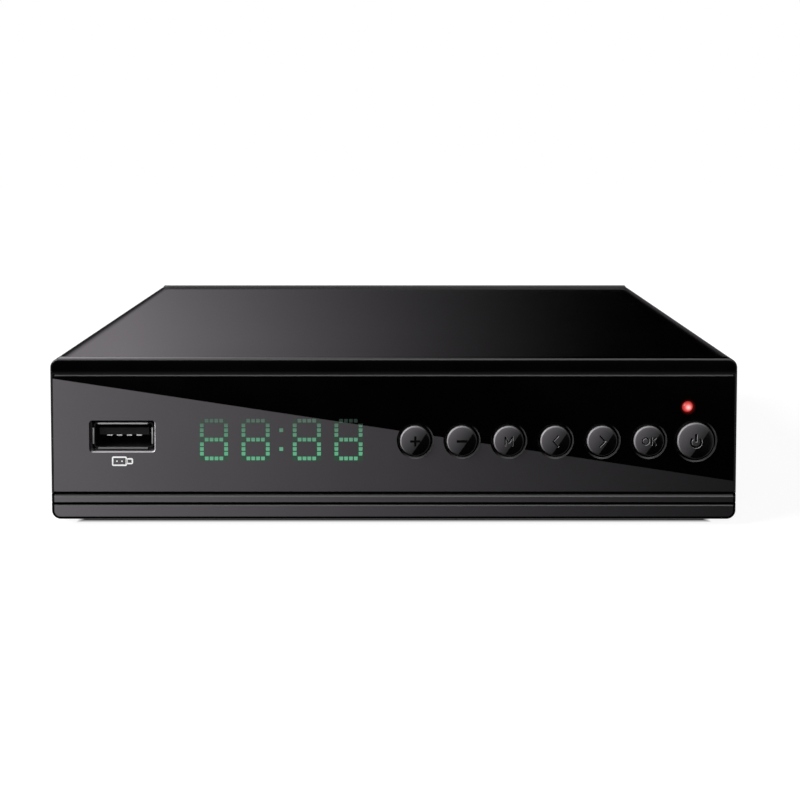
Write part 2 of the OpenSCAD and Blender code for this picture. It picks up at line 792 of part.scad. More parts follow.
// Domed standby lamp on two leads
module standby_lamp() color(RED_GLOW) {
    at(lamp_x, lamp_r - lamp_proud, lamp_z) {
        intersection() {
            sphere(lamp_r);
            translate([0, -lamp_r / 2, 0]) cube([2 * lamp_r, lamp_r, 2 * lamp_r], center = true);
        }
        bar(lamp_r, lamp_len + lamp_proud - lamp_r);
    }
    at(lamp_x, lamp_len - lamp_flange_t, lamp_z) bar(lamp_r + lamp_flange_w, lamp_flange_t);
    for (side = [-1, 1])
        at(lamp_x + side * lead_pitch / 2 - lead_w / 2, lamp_len - lead_w, lamp_z - lead_w / 2)
            cube([lead_w, front_board_y - lamp_len + lead_w, lead_w]);
}

// Infrared receiver with a domed window
module ir_receiver() color(BLACK_PLASTIC) {
    at(receiver_x - receiver_w / 2, front_board_y - receiver_t, lamp_z - receiver_w / 2)
        cube([receiver_w, receiver_t, receiver_w]);
    at(receiver_x, front_board_y - receiver_t, lamp_z) intersection() {
        sphere(receiver_r);
        translate([0, -receiver_r / 2, 0]) cube([2 * receiver_r, receiver_r, 2 * receiver_r], center = true);
    }
}

// Upright board behind the front
module front_board() color(BOARD_GREEN) difference() {
    at(-front_board_w / 2, front_board_y, front_board_z) cube([front_board_w, board_t, front_board_h]);
    for (b = bosses)
        at(b[0], front_board_y - over, b[1]) bar(pilot_r, board_t + 2 * over);
}

// Screws that hold the front board to the bezel's bosses
module front_board_screws() color(STEEL)
    for (b = bosses)
        at(b[0], front_board_back, b[1]) screw();

// Screws that hold the bezel to the tray's tabs
module bezel_screws() color(STEEL)
    for (side = [-1, 1])
        at(side * bezel_screw_x, front_board_back + sheet_t, bezel_boss_z) screw();

// Bodies of the seven tact switches
module switch_bodies() color(BLACK_PLASTIC)
    for (x = button_x)
        at(x, front_board_y - switch_h + plate_t, button_z) difference() {
            translate([-switch_w / 2, 0, -switch_w / 2]) cube([switch_w, switch_h - plate_t, switch_w]);
            translate([0, -over, 0])
                bar(plunger_r + slip_gap, over + plunger_in + button_travel + part_gap - plate_t);
        }

// Cover plates of the seven tact switches
module switch_plates() color(STEEL)
    for (x = button_x)
        at(x, front_board_y - switch_h, button_z) difference() {
            translate([-switch_w / 2, 0, -switch_w / 2]) cube([switch_w, plate_t, switch_w]);
            translate([0, -over, 0]) bar(plunger_r + slip_gap, plate_t + 2 * over);
        }

// Plunger of switch k
module switch_plunger(k) color(BLACK_PLASTIC)
    at(button_x[k], front_board_y - switch_h - plunger_h, button_z) bar(plunger_r, plunger_h + plunger_in);

// Height of a cap's crowned face at radius r, as a distance behind its highest point
function crown(r, edge) = button_crown * (r / edge) * (r / edge);

// Cap k: crowned face, bevel, skirt, keeper flange behind the bezel and stem
module button_cap(k) color(DARK_CAP) {
    r = cap_r[k];
    face_r = r - button_bevel;
    keeper_y = face_t + 2 * slip_gap;
    stem_end = front_board_y - switch_h - plunger_h - slip_gap;
    at(button_x[k], 0, button_z) turned()
        polygon(concat(
            [for (s = [0 : crown_steps])
                [face_r * s / crown_steps, crown(face_r * s / crown_steps, face_r) - button_proud]],
            [
                [r, button_crown + button_bevel - button_proud],
                [r, keeper_y],
                [r + button_gap + keeper_w, keeper_y],
                [r + button_gap + keeper_w, keeper_y + keeper_t],
                [stem_r, keeper_y + keeper_t],
                [stem_r, stem_end],
                [0, stem_end]
            ]
        ));
}

// Folded shell of the memory stick port with four flared lips at its mouth
module port_shell() color(STEEL)
    at(port_x, port_setback + port_lip_len, port_z) {
        slab(front_board_y - port_setback - port_lip_len) difference() {
            round_rect(port_out_w, port_out_h, port_corner_r);
            round_rect(port_w, port_h, port_corner_r - port_shell_t);
        }
        for (turn = [0 : 3]) {
            reach = (turn % 2 == 0 ? port_h : port_w) / 2;
            width = (turn % 2 == 0 ? port_w : port_h) - 2 * port_corner_r;
            rotate([0, 90 * turn, 0]) translate([0, 0, reach]) across(width)
                polygon([
                    [port_shell_t, 0],
                    [port_shell_t, port_shell_t],
                    [-port_lip_len, port_shell_t + port_flare],
                    [-port_lip_len, port_flare]
                ]);
        }
    }

// Insulator of the memory stick port: base and tongue
module port_tongue() color(BLACK_PLASTIC) {
    width = port_w - 2 * port_corner_r;
    at(port_x - width / 2, tongue_y, port_z + tongue_z) cube([width, front_board_y - tongue_y, tongue_t]);
    at(port_x, front_board_y - tongue_base, port_z) slab(tongue_base)
        round_rect(port_w - 2 * slip_gap, port_h - 2 * slip_gap, port_corner_r - port_shell_t);
}

// Four spring contacts under the tongue
module port_contacts() color(GOLD)
    for (k = [-1.5 : 1 : 1.5])
        at(port_x + k * contact_pitch - contact_w / 2, tongue_y + slip_gap, port_z + tongue_z - contact_t)
            cube([contact_w, front_board_y - tongue_base - tongue_y - slip_gap, contact_t]);

// Main circuit board
module main_board() color(BOARD_GREEN) difference() {
    at(-main_w / 2, main_y, board_top - board_t) cube([main_w, main_d, board_t]);
    for (s = standoffs)
        at(s[0], s[1], board_top - board_t - over) cylinder(r = pilot_r, h = board_t + 2 * over);
}

// Screws that hold the main board to the standoffs
module board_screws() color(STEEL)
    for (s = standoffs)
        at(s[0], s[1], board_top) rotate([90, 0, 0]) screw();

// Insulating strip of the link between the boards
module link_header() color(BLACK_PLASTIC) difference() {
    at(-link_pins_n * link_pitch / 2, front_board_back, front_board_z + part_gap)
        cube([link_pins_n * link_pitch, link_block, link_block]);
    for (k = [0 : link_pins_n - 1])
        at((k - (link_pins_n - 1) / 2) * link_pitch, front_board_back, board_top + link_drop)
            cube([link_w + 2 * slip_gap, 2 * (link_block + over), link_w + 2 * slip_gap], center = true);
}

// Bent pins of the link between the boards
module link_pins() color(GOLD)
    for (k = [0 : link_pins_n - 1])
        at((k - (link_pins_n - 1) / 2) * link_pitch - link_w / 2, front_board_back, board_top) {
            translate([0, 0, link_drop - link_w / 2]) cube([link_w, link_bend, link_w]);
            translate([0, link_bend - link_w, 0]) cube([link_w, link_w, link_drop + link_w / 2]);
        }

// Flat chip with its middle at x and y on the main board
module chip(x, y, w, d) at(x - w / 2, y - d / 2, board_top) cube([w, d, chip_t]);

// Processor under the heat sink
module processor() color(BLACK_PLASTIC) chip(0, chip_row, processor_w, processor_w);

// Finned heat sink on the processor
module heat_sink() color(ALUMINIUM) at(0, chip_row, board_top + chip_t) {
    translate([-sink_w / 2, -sink_w / 2, 0]) cube([sink_w, sink_w, sink_base]);
    for (k = [0 : sink_fins - 1])
        translate([-sink_w / 2 + k * (sink_w - fin_t) / (sink_fins - 1), -sink_w / 2, 0])
            cube([fin_t, sink_w, sink_h]);
}

// Two memory chips beside the processor
module memory_chips() color(BLACK_PLASTIC)
    for (k = [0, 1])
        chip(memory_x - k * memory_pitch, chip_row, memory_w, memory_d);

// Flash memory chip
module flash_chip() color(BLACK_PLASTIC) chip(flash_x, chip_row, flash_w, flash_d);

// Crystal in a can with round ends
module crystal() color(STEEL) at(flash_x, part_row, board_top)
    linear_extrude(crystal_h) slot(crystal_w, crystal_l);

// Electrolytic capacitors, each with a rolled groove near its foot
module capacitors() color(BLACK_PLASTIC)
    for (k = [0 : capacitors_n - 1])
        at(capacitor_x + k * capacitor_pitch, part_row, board_top) rotate_extrude()
            polygon([
                [0, 0],
                [capacitor_r, 0],
                [capacitor_r, capacitor_foot],
                [capacitor_r - capacitor_roll, capacitor_foot + capacitor_roll],
                [capacitor_r, capacitor_foot + 2 * capacitor_roll],
                [capacitor_r, capacitor_h - capacitor_roll],
                [capacitor_r - capacitor_roll, capacitor_h],
                [0, capacitor_h]
            ]);

// Two power coils: a square base and a round core
module power_coils() color(GRAPHITE)
    for (k = [0, 1])
        at(coil_x + k * coil_pitch, chip_row, board_top) {
            translate([-coil_w / 2, -coil_w / 2, 0]) cube([coil_w, coil_w, coil_base]);
            cylinder(r = coil_r, h = coil_h);
        }

// Folded screening can of the tuner, open towards the main board
module tuner_can() color(STEEL)
    at((antenna_x[0] + antenna_x[1] - tuner_w) / 2, socket_back - tuner_d, board_top) difference() {
        cube([tuner_w, tuner_d, tuner_h]);
        translate([tuner_wall, tuner_wall, -over])
            cube([tuner_w - 2 * tuner_wall, tuner_d - 2 * tuner_wall, tuner_h - tuner_wall + over]);
    }

// Antenna input: a wide sleeve that takes a plug inside
module antenna_in_sleeve() color(STEEL)
    at(antenna_x[0], socket_back, antenna_z) turned()
        polygon([
            [antenna_bush_r + slip_gap, 0],
            [antenna_in_r, 0],
            [antenna_in_r, antenna_l],
            [antenna_in_r - antenna_wall, antenna_l],
            [antenna_in_r - antenna_wall, antenna_floor],
            [antenna_bush_r + slip_gap, antenna_floor]
        ]);

// Antenna output: a narrower sleeve on a collar
module antenna_out_sleeve() color(STEEL) {
    collar = sheet_t + part_gap + antenna_collar;
    at(antenna_x[1], socket_back, antenna_z) turned()
        polygon([
            [antenna_bush_r + slip_gap, 0],
            [antenna_in_r, 0],
            [antenna_in_r, collar],
            [antenna_out_r, collar],
            [antenna_out_r, antenna_l],
            [antenna_out_r - antenna_wall, antenna_l],
            [antenna_out_r - antenna_wall, antenna_floor],
            [antenna_bush_r + slip_gap, antenna_floor]
        ]);
}

// Insulating bushes in the floors of both antenna sockets
module antenna_bushes() color(WHITE)
    for (k = [0, 1]) {
        hole_r = (k == 0 ? antenna_contact_r : antenna_pin_r) + slip_gap;
        at(antenna_x[k], socket_back, antenna_z) turned()
            translate([hole_r, 0]) square([antenna_bush_r - hole_r, antenna_floor]);
    }

// Hollow contact of the antenna input and pin of the output
module antenna_contacts() color(GOLD) {
    at(antenna_x[0], socket_back, antenna_z) difference() {
        bar(antenna_contact_r, antenna_l - antenna_collar);
        translate([0, antenna_floor, 0]) bar(antenna_pin_r, antenna_l);
    }
    at(antenna_x[1], socket_back, antenna_z) bar(antenna_pin_r, antenna_l - antenna_collar);
}

// Outline of the digital video socket, with sloping lower corners, widened by gap
module video_outline(gap) {
    w = video_w / 2 + gap;
    h = video_h / 2 + gap;
    polygon([
        [-w, h],
        [w, h],
        [w, video_chamfer - h],
        [w - video_chamfer, -h],
        [video_chamfer - w, -h],
        [-w, video_chamfer - h]
    ]);
}

// Shell of the digital video socket
module video_shell() color(STEEL)
    at(video_x, body_d + video_proud - video_d, video_z) slab(video_d) difference() {
        video_outline(video_wall);
        video_outline(0);
    }

// Insulator of the digital video socket: base and tongue
module video_tongue() color(BLACK_PLASTIC) {
    base = video_d - video_proud - video_tongue_l;
    at(video_x, body_d + video_proud - video_d, video_z) slab(base) video_outline(-slip_gap);
    at(video_x - video_tongue_w / 2, body_d + video_proud - video_d, video_z - video_tongue_t / 2)
        cube([video_tongue_w, base + video_tongue_l - video_proud, video_tongue_t]);
}

// Block that carries the three phono sockets
module av_block() color(BLACK_PLASTIC)
    at(av_x - 1.5 * av_pitch, av_y - av_block_d, board_top) cube([3 * av_pitch, av_block_d, av_block_h]);

// Steel sleeves of the three phono sockets, each on a collar
module av_sleeves() color(STEEL)
    for (k = [-1 : 1])
        at(av_x + k * av_pitch, av_y, av_z) turned()
            polygon([
                [av_core_r + slip_gap, av_base],
                [av_sleeve_r + av_collar_w, av_base],
                [av_sleeve_r + av_collar_w, av_collar_y],
                [av_sleeve_r, av_collar_y],
                [av_sleeve_r, av_tip_y],
                [av_core_r + slip_gap, av_tip_y]
            ]);

// Coloured insert k of the phono sockets: base, ring round the sleeve and core with its contact hole
module av_insert(k, shade) color(shade)
    at(av_x + k * av_pitch, av_y, av_z) turned()
        polygon([
            [0, 0],
            [av_insert_r, 0],
            [av_insert_r, av_collar_y],
            [av_sleeve_r + av_collar_w + slip_gap, av_collar_y],
            [av_sleeve_r + av_collar_w + slip_gap, av_base],
            [av_core_r, av_base],
            [av_core_r, av_tip_y - av_collar],
            [av_bore_r, av_tip_y - av_collar],
            [av_bore_r, av_base + av_collar],
            [0, av_base + av_collar]
        ]);

// Body of the direct current inlet: block and round snout with a blind bore
module inlet_body() color(BLACK_PLASTIC) difference() {
    union() {
        at(inlet_x - inlet_r, socket_back - inlet_d, board_top)
            cube([2 * inlet_r, inlet_d, inlet_lift + inlet_r + inlet_border]);
        at(inlet_x, socket_back - over, inlet_z) bar(inlet_r, body_d + inlet_proud - socket_back + over);
    }
    at(inlet_x, body_d + inlet_proud - inlet_bore_d, inlet_z) bar(inlet_bore_r, inlet_bore_d + over);
}

// Pin in the middle of the inlet
module inlet_pin() color(STEEL)
    at(inlet_x, body_d + inlet_proud - inlet_bore_d, inlet_z) bar(inlet_pin_r, inlet_pin_l);

chassis_tray();
top_cover();
rubber_feet();
cover_screws();
front_bezel();
fascia_panel();
display_light_guide();
display_module();
standby_lamp();
ir_receiver();
front_board();
front_board_screws();
bezel_screws();
switch_bodies();
switch_plates();
button_cap(0);  // button_plus
button_cap(1);  // button_minus
button_cap(2);  // button_menu
button_cap(3);  // button_left
button_cap(4);  // button_right
button_cap(5);  // button_ok
button_cap(6);  // button_power
switch_plunger(0);  // plunger_plus
switch_plunger(1);  // plunger_minus
switch_plunger(2);  // plunger_menu
switch_plunger(3);  // plunger_left
switch_plunger(4);  // plunger_right
switch_plunger(5);  // plunger_ok
switch_plunger(6);  // plunger_power
port_shell();
port_tongue();
port_contacts();
main_board();
board_screws();
link_header();
link_pins();
processor();
heat_sink();
memory_chips();
flash_chip();
crystal();
capacitors();
power_coils();
tuner_can();
antenna_in_sleeve();
antenna_out_sleeve();
antenna_bushes();
antenna_contacts();
video_shell();
video_tongue();
av_block();
av_sleeves();
av_insert(-1, YELLOW);  // av_insert_yellow
av_insert(0, WHITE);  // av_insert_white
av_insert(1, RED);  // av_insert_red
inlet_body();
inlet_pin();
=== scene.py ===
"""Looks of a TV decoder box: finishes, caps with engraved legends, a printed mark, camera and studio.

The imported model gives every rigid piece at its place. Each class below dresses one sub-assembly of it, and
models what the solids leave out. Lengths are in metres unless a name says otherwise.
"""
import logging
import math
from dataclasses import dataclass, field
from enum import Enum
from typing import Callable, ClassVar, Dict, List, Mapping, Sequence, Tuple, Union

import bpy
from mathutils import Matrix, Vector


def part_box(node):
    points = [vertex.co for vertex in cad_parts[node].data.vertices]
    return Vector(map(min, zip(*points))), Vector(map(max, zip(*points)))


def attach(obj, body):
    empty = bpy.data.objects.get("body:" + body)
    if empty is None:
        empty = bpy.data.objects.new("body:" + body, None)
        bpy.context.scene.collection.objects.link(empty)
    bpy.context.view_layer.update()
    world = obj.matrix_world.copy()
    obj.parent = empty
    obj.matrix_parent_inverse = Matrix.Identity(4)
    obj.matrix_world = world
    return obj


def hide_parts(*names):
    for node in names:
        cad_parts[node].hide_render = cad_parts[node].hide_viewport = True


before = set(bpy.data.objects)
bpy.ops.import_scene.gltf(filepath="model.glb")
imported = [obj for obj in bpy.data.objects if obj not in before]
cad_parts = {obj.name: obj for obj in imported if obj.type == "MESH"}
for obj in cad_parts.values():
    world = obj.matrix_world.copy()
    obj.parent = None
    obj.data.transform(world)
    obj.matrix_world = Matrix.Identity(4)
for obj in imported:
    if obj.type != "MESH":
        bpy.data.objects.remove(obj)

log = logging.getLogger("decoder_box")
MM = 0.001
METRE = 1.0
CASE_BODY = "case"
SCREEN_GAMMA = 2.2
SQUARE_ON = 0.9

Socket = bpy.types.NodeSocket
Sockets = bpy.types.NodeOutputs
Colour = Tuple[float, float, float]
Range = Tuple[float, float]
Feed = Union[float, Sequence[float], Socket]
Feeds = Dict[str, Feed]
ShapeTest = Callable[[Vector, Vector], bool]

BLACK: Colour = (0.0, 0.0, 0.0)
WHITE: Colour = (1.0, 1.0, 1.0)
GREY_CAST: Colour = (1.0, 0.935, 1.005)
CLOUD_RANGE: Range = (0.3, 0.7)


def spot(node: str) -> Tuple[float, float]:
    """Where the middle of a solid lies on the front, as its place across and its height."""
    low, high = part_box(node)
    return (low.x + high.x) / 2, (low.z + high.z) / 2


def front_of(node: str) -> float:
    """How far forward a solid reaches."""
    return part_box(node)[0].y


class Graph:
    """Adds and wires shader nodes in one node tree."""

    MIX_INPUTS: ClassVar[Tuple[int, int, int]] = (0, 6, 7)
    MIX_RESULT: ClassVar[int] = 2

    def __init__(self, tree: bpy.types.NodeTree) -> None:
        """Keeps the tree that the nodes go into."""
        self.tree = tree

    def feed(self, socket: Socket, value: Feed) -> None:
        """Links an output to an input, or sets the input's own value.

        Args:
            socket: the input.
            value: another node's output, a number, a vector or a colour.
        """
        if isinstance(value, Socket):
            self.tree.links.new(value, socket)
        elif socket.type == "RGBA":
            socket.default_value = (*value, 1.0)
        else:
            socket.default_value = value

    def add(self, kind: str, **inputs: Feed) -> bpy.types.Node:
        """Adds a shader node.

        Args:
            kind: the node's type without its prefix.
            **inputs: values or outputs for its inputs, named with underscores for spaces.

        Returns:
            The new node.
        """
        node = self.tree.nodes.new("ShaderNode" + kind)
        for name, value in inputs.items():
            self.feed(node.inputs[name.replace("_", " ")], value)
        return node

    def math(self, operation: str, *values: Feed) -> Socket:
        """Works out one number from others.

        Args:
            operation: the Math node's operation.
            *values: its operands.

        Returns:
            The result.
        """
        node = self.add("Math")
        node.operation = operation
        for socket, value in zip(node.inputs, values):
            self.feed(socket, value)
        return node.outputs[0]

    def times(self, first: Feed, second: Feed) -> Socket:
        """The product of two numbers."""
        return self.math("MULTIPLY", first, second)

    def minus(self, first: Feed, second: Feed) -> Socket:
        """The first number less the second."""
        return self.math("SUBTRACT", first, second)

    def least(self, first: Feed, second: Feed) -> Socket:
        """The smaller of two numbers."""
        return self.math("MINIMUM", first, second)

    def most(self, first: Feed, second: Feed) -> Socket:
        """The larger of two numbers."""
        return self.math("MAXIMUM", first, second)

    def off(self, value: Feed, middle: float) -> Socket:
        """How far a number lies from a middle, to either side."""
        return self.math("ABSOLUTE", self.minus(value, middle))

    def span(self, value: Feed, low: float, high: float, start: Feed = 0.0, end: Feed = 1.0) -> Socket:
        """Maps a stretch of values to another, held at its ends.

        Args:
            value: the number to map.
            low: value at which the result is start.
            high: value at which the result is end.
            start: result at low.
            end: result at high.

        Returns:
            The mapped number.
        """
        node = self.add("MapRange", Value=value, From_Min=low, From_Max=high, To_Min=start, To_Max=end)
        return node.outputs["Result"]

    def fall(self, value: Feed, low: float, high: float) -> Socket:
        """1 up to a low value, 0 from a high one, and a slope between them."""
        return self.span(value, low, high, 1.0, 0.0)

    def mix(self, share: Feed, first: Feed, second: Feed) -> Socket:
        """Mixes two colours.

        Args:
            share: share of the second colour.
            first: colour at a share of 0.
            second: colour at a share of 1.

        Returns:
            The mixed colour.
        """
        node = self.add("Mix")
        node.data_type = "RGBA"
        for index, value in zip(self.MIX_INPUTS, (share, first, second)):
            self.feed(node.inputs[index], value)
        return node.outputs[self.MIX_RESULT]

    def noise(self, vector: Socket, scale: Feed, detail: float = 2.0) -> Socket:
        """Cloudy values about one half, with features one over scale long."""
        return self.add("TexNoise", Vector=vector, Scale=scale, Detail=detail).outputs[0]

    def split(self, vector: Socket) -> Tuple[Socket, Socket, Socket]:
        """The three parts of a vector."""
        parts = self.add("SeparateXYZ", Vector=vector).outputs
        return parts[0], parts[1], parts[2]

    def reach(self, first: Socket, second: Socket, centre: Tuple[float, float] = (0.0, 0.0)) -> Socket:
        """Distance of two coordinates from a centre."""
        squares = (self.math("POWER", self.minus(part, middle), 2.0)
                   for part, middle in zip((first, second), centre))
        return self.math("SQRT", self.math("ADD", *squares))

    def place(self) -> Socket:
        """Object coordinates."""
        return self.add("TexCoord").outputs["Object"]

    def normal(self) -> Socket:
        """The surface's normal."""
        return self.add("NewGeometry").outputs["Normal"]

    def bump(self, height: Socket, depth: float) -> Socket:
        """A normal that is bumped by heights of up to a depth."""
        return self.add("Bump", Strength=1.0, Distance=depth, Height=height).outputs[0]


class Effect:
    """A shader node group that several finishes share, built when it is first placed."""

    NAME: ClassVar[str]
    INPUTS: ClassVar[Mapping[str, str]]
    OUTPUTS: ClassVar[Mapping[str, str]]

    @classmethod
    def wire(cls, graph: Graph, inputs: Sockets) -> Feeds:
        """Wires the inside of the group and returns its outputs by name."""
        raise NotImplementedError

    @classmethod
    def build(cls) -> bpy.types.NodeTree:
        """Makes the node group with its named sockets."""
        tree = bpy.data.node_groups.new(cls.NAME, "ShaderNodeTree")
        for way, sockets in (("INPUT", cls.INPUTS), ("OUTPUT", cls.OUTPUTS)):
            for name, kind in sockets.items():
                tree.interface.new_socket(name, in_out=way, socket_type="NodeSocket" + kind)
        graph = Graph(tree)
        source = tree.nodes.new("NodeGroupInput")
        sink = tree.nodes.new("NodeGroupOutput")
        for name, socket in cls.wire(graph, source.outputs).items():
            graph.feed(sink.inputs[name], socket)
        return tree

    @classmethod
    def put(cls, graph: Graph, **inputs: Feed) -> Sockets:
        """Places the group in a material.

        Args:
            graph: the material's nodes.
            **inputs: values or outputs for the group's inputs.

        Returns:
            The group's outputs.
        """
        node = graph.add("Group")
        node.node_tree = bpy.data.node_groups.get(cls.NAME) or cls.build()
        for name, value in inputs.items():
            graph.feed(node.inputs[name], value)
        return node.outputs


class Grain(Effect):
    """Fine moulded or sprayed grain, and a slow drift of tone."""

    NAME = "surface_grain"
    INPUTS = {"Vector": "Vector", "Fineness": "Float", "Drift": "Float"}
    OUTPUTS = {"Height": "Float", "Tone": "Float"}
    DETAIL: ClassVar[float] = 3.0

    @classmethod
    def wire(cls, graph: Graph, inputs: Sockets) -> Feeds:
        """Height is the grain, and Tone drifts between 0 and 1."""
        return {
            "Height": graph.noise(inputs["Vector"], inputs["Fineness"], cls.DETAIL),
            "Tone": graph.span(graph.noise(inputs["Vector"], inputs["Drift"]), *CLOUD_RANGE),
        }


class EdgeMask(Effect):
    """Marks the chamfers and rounded edges of a piece that faces the front, where finishes put painted
    highlights and painted shade.
    """

    NAME = "front_edge_mask"
    INPUTS = {"Normal": "Vector"}
    OUTPUTS = {"Edge": "Float", "Lit": "Float", "Upward": "Float", "Side": "Float"}
    FLAT_RANGE: ClassVar[Range] = (0.88, 0.97)
    SIDE_RANGE: ClassVar[Range] = (0.08, 0.25)
    LIT_ACROSS: ClassVar[float] = -0.75
    LIT_UP: ClassVar[float] = 0.66
    LIT_RANGE: ClassVar[Range] = (-0.1, 0.5)
    UP_RANGE: ClassVar[Range] = (0.2, 0.5)

    @classmethod
    def wire(cls, graph: Graph, inputs: Sockets) -> Feeds:
        """Edge marks slanting faces, Lit upper left ones, Upward upper ones, and Side the square ones."""
        across, depth, height = graph.split(inputs["Normal"])
        lean = graph.math("ABSOLUTE", depth)
        slant = graph.span(lean, *cls.SIDE_RANGE)
        edge = graph.times(graph.fall(lean, *cls.FLAT_RANGE), slant)
        facing = graph.math("MULTIPLY_ADD", across, cls.LIT_ACROSS, graph.times(height, cls.LIT_UP))
        return {
            "Edge": edge,
            "Lit": graph.times(edge, graph.span(facing, *cls.LIT_RANGE)),
            "Upward": graph.times(edge, graph.span(height, *cls.UP_RANGE)),
            "Side": graph.minus(1.0, slant),
        }


class PanelFade(Effect):
    """Painted light on the front: a fade of light from left to right, and a slanting edge of a painted
    reflection with black above it.
    """

    NAME = "panel_fade"
    INPUTS = {"Vector": "Vector", "Gain": "Float"}
    OUTPUTS = {"Shade": "Color", "Above": "Float"}
    # painted fade of light, pale at the left and dark at the right
    LEFT: ClassVar[float] = 0.356
    RIGHT: ClassVar[float] = 0.136
    HALF_WIDTH: ClassVar[float] = 75 * MM
    EDGE_HEIGHT: ClassVar[float] = 21.35 * MM
    EDGE_SLOPE: ClassVar[float] = -0.1518
    EDGE_BLUR: ClassVar[float] = 0.06 * MM

    @classmethod
    def wire(cls, graph: Graph, inputs: Sockets) -> Feeds:
        """Shade is the painted fade's colour times a gain, and Above is 1 over the slanting edge of the
        painted reflection.
        """
        across, _, height = graph.split(inputs["Vector"])
        over = graph.minus(height, graph.math("MULTIPLY_ADD", across, cls.EDGE_SLOPE, cls.EDGE_HEIGHT))
        seen = graph.span(across, -cls.HALF_WIDTH, cls.HALF_WIDTH, cls.LEFT, cls.RIGHT)
        grey = graph.times(graph.math("POWER", seen, SCREEN_GAMMA), inputs["Gain"])
        return {
            "Shade": graph.mix(grey, BLACK, GREY_CAST),
            "Above": graph.span(over, -cls.EDGE_BLUR, cls.EDGE_BLUR),
        }


class DigitHalo(Effect):
    """Stray light on the print along the strokes of the four digits."""

    NAME = "digit_halo"
    INPUTS = {"Vector": "Vector"}
    OUTPUTS = {"Halo": "Float"}
    CENTRE: ClassVar[Tuple[float, float]] = spot("display_light_guide")
    INNER: ClassVar[float] = 5.6 * MM
    OUTER: ClassVar[float] = 14.7 * MM
    HALF_WIDTH: ClassVar[float] = 2.65 * MM
    RING_HEIGHT: ClassVar[float] = 4.16 * MM
    NEAR: ClassVar[float] = 0.3 * MM
    FAR: ClassVar[float] = 0.68 * MM
    HEAD_SHARE: ClassVar[float] = 0.4

    @classmethod
    def wire(cls, graph: Graph, inputs: Sockets) -> Feeds:
        """Halo is 1 at the low strokes, weaker at the high ones, and 0 a little way off."""
        across, _, height = graph.split(inputs["Vector"])
        aside, aloft = (graph.off(part, middle) for part, middle in zip((across, height), cls.CENTRE))
        inner, outer = (graph.off(aside, middle) for middle in (cls.INNER, cls.OUTER))
        beside = graph.minus(graph.least(inner, outer), cls.HALF_WIDTH)
        half = cls.RING_HEIGHT / 2
        over = graph.minus(graph.off(aloft, half), half)
        away = graph.math("ABSOLUTE", graph.most(beside, over))
        rise = graph.minus(height, cls.CENTRE[1])
        share = graph.span(rise, -cls.RING_HEIGHT, cls.RING_HEIGHT, 1.0, cls.HEAD_SHARE)
        return {"Halo": graph.times(share, graph.fall(away, cls.NEAR, cls.FAR))}


class Dust(Effect):
    """A thin film of dust on surfaces that look up."""

    NAME = "settled_dust"
    INPUTS = {"Vector": "Vector", "Normal": "Vector", "Amount": "Float"}
    OUTPUTS = {"Film": "Float"}
    CLOUDS: ClassVar[float] = 1 / (9 * MM)
    CLOUD_DETAIL: ClassVar[float] = 3.0
    CLOUD_SPAN: ClassVar[Range] = (0.35, 0.75)
    SPECKS: ClassVar[float] = 1 / (0.6 * MM)
    SPECK_DETAIL: ClassVar[float] = 1.0
    SPECK_SPAN: ClassVar[Range] = (0.45, 0.8)
    UP_RANGE: ClassVar[Range] = (0.5, 0.95)

    @classmethod
    def wire(cls, graph: Graph, inputs: Sockets) -> Feeds:
        """Film is the dust's share of the surface."""
        _, _, height = graph.split(inputs["Normal"])
        clouds = graph.span(graph.noise(inputs["Vector"], cls.CLOUDS, cls.CLOUD_DETAIL), *cls.CLOUD_SPAN)
        specks = graph.span(graph.noise(inputs["Vector"], cls.SPECKS, cls.SPECK_DETAIL), *cls.SPECK_SPAN)
        film = graph.times(graph.math("MULTIPLY_ADD", specks, clouds, clouds), inputs["Amount"])
        return {"Film": graph.times(film, graph.span(height, *cls.UP_RANGE))}


class DrawnLines(Effect):
    """Fine lines along a drawn or rolled metal's length, and faint handling marks."""

    NAME = "drawn_lines"
    INPUTS = {"Vector": "Vector", "Fineness": "Float", "Stretch": "Vector"}
    OUTPUTS = {"Height": "Float", "Marks": "Float"}
    MARKS: ClassVar[float] = 1 / (2.5 * MM)
    MARK_DETAIL: ClassVar[float] = 4.0

    @classmethod
    def wire(cls, graph: Graph, inputs: Sockets) -> Feeds:
        """Height is the lines, and Marks are cloudy smudges between 0 and 1."""
        drawn = graph.add("VectorMath")
        drawn.operation = "MULTIPLY"
        graph.feed(drawn.inputs[0], inputs["Vector"])
        graph.feed(drawn.inputs[1], inputs["Stretch"])
        marks = graph.noise(inputs["Vector"], cls.MARKS, cls.MARK_DETAIL)
        return {
            "Height": graph.noise(drawn.outputs[0], inputs["Fineness"]),
            "Marks": graph.span(marks, *CLOUD_RANGE),
        }


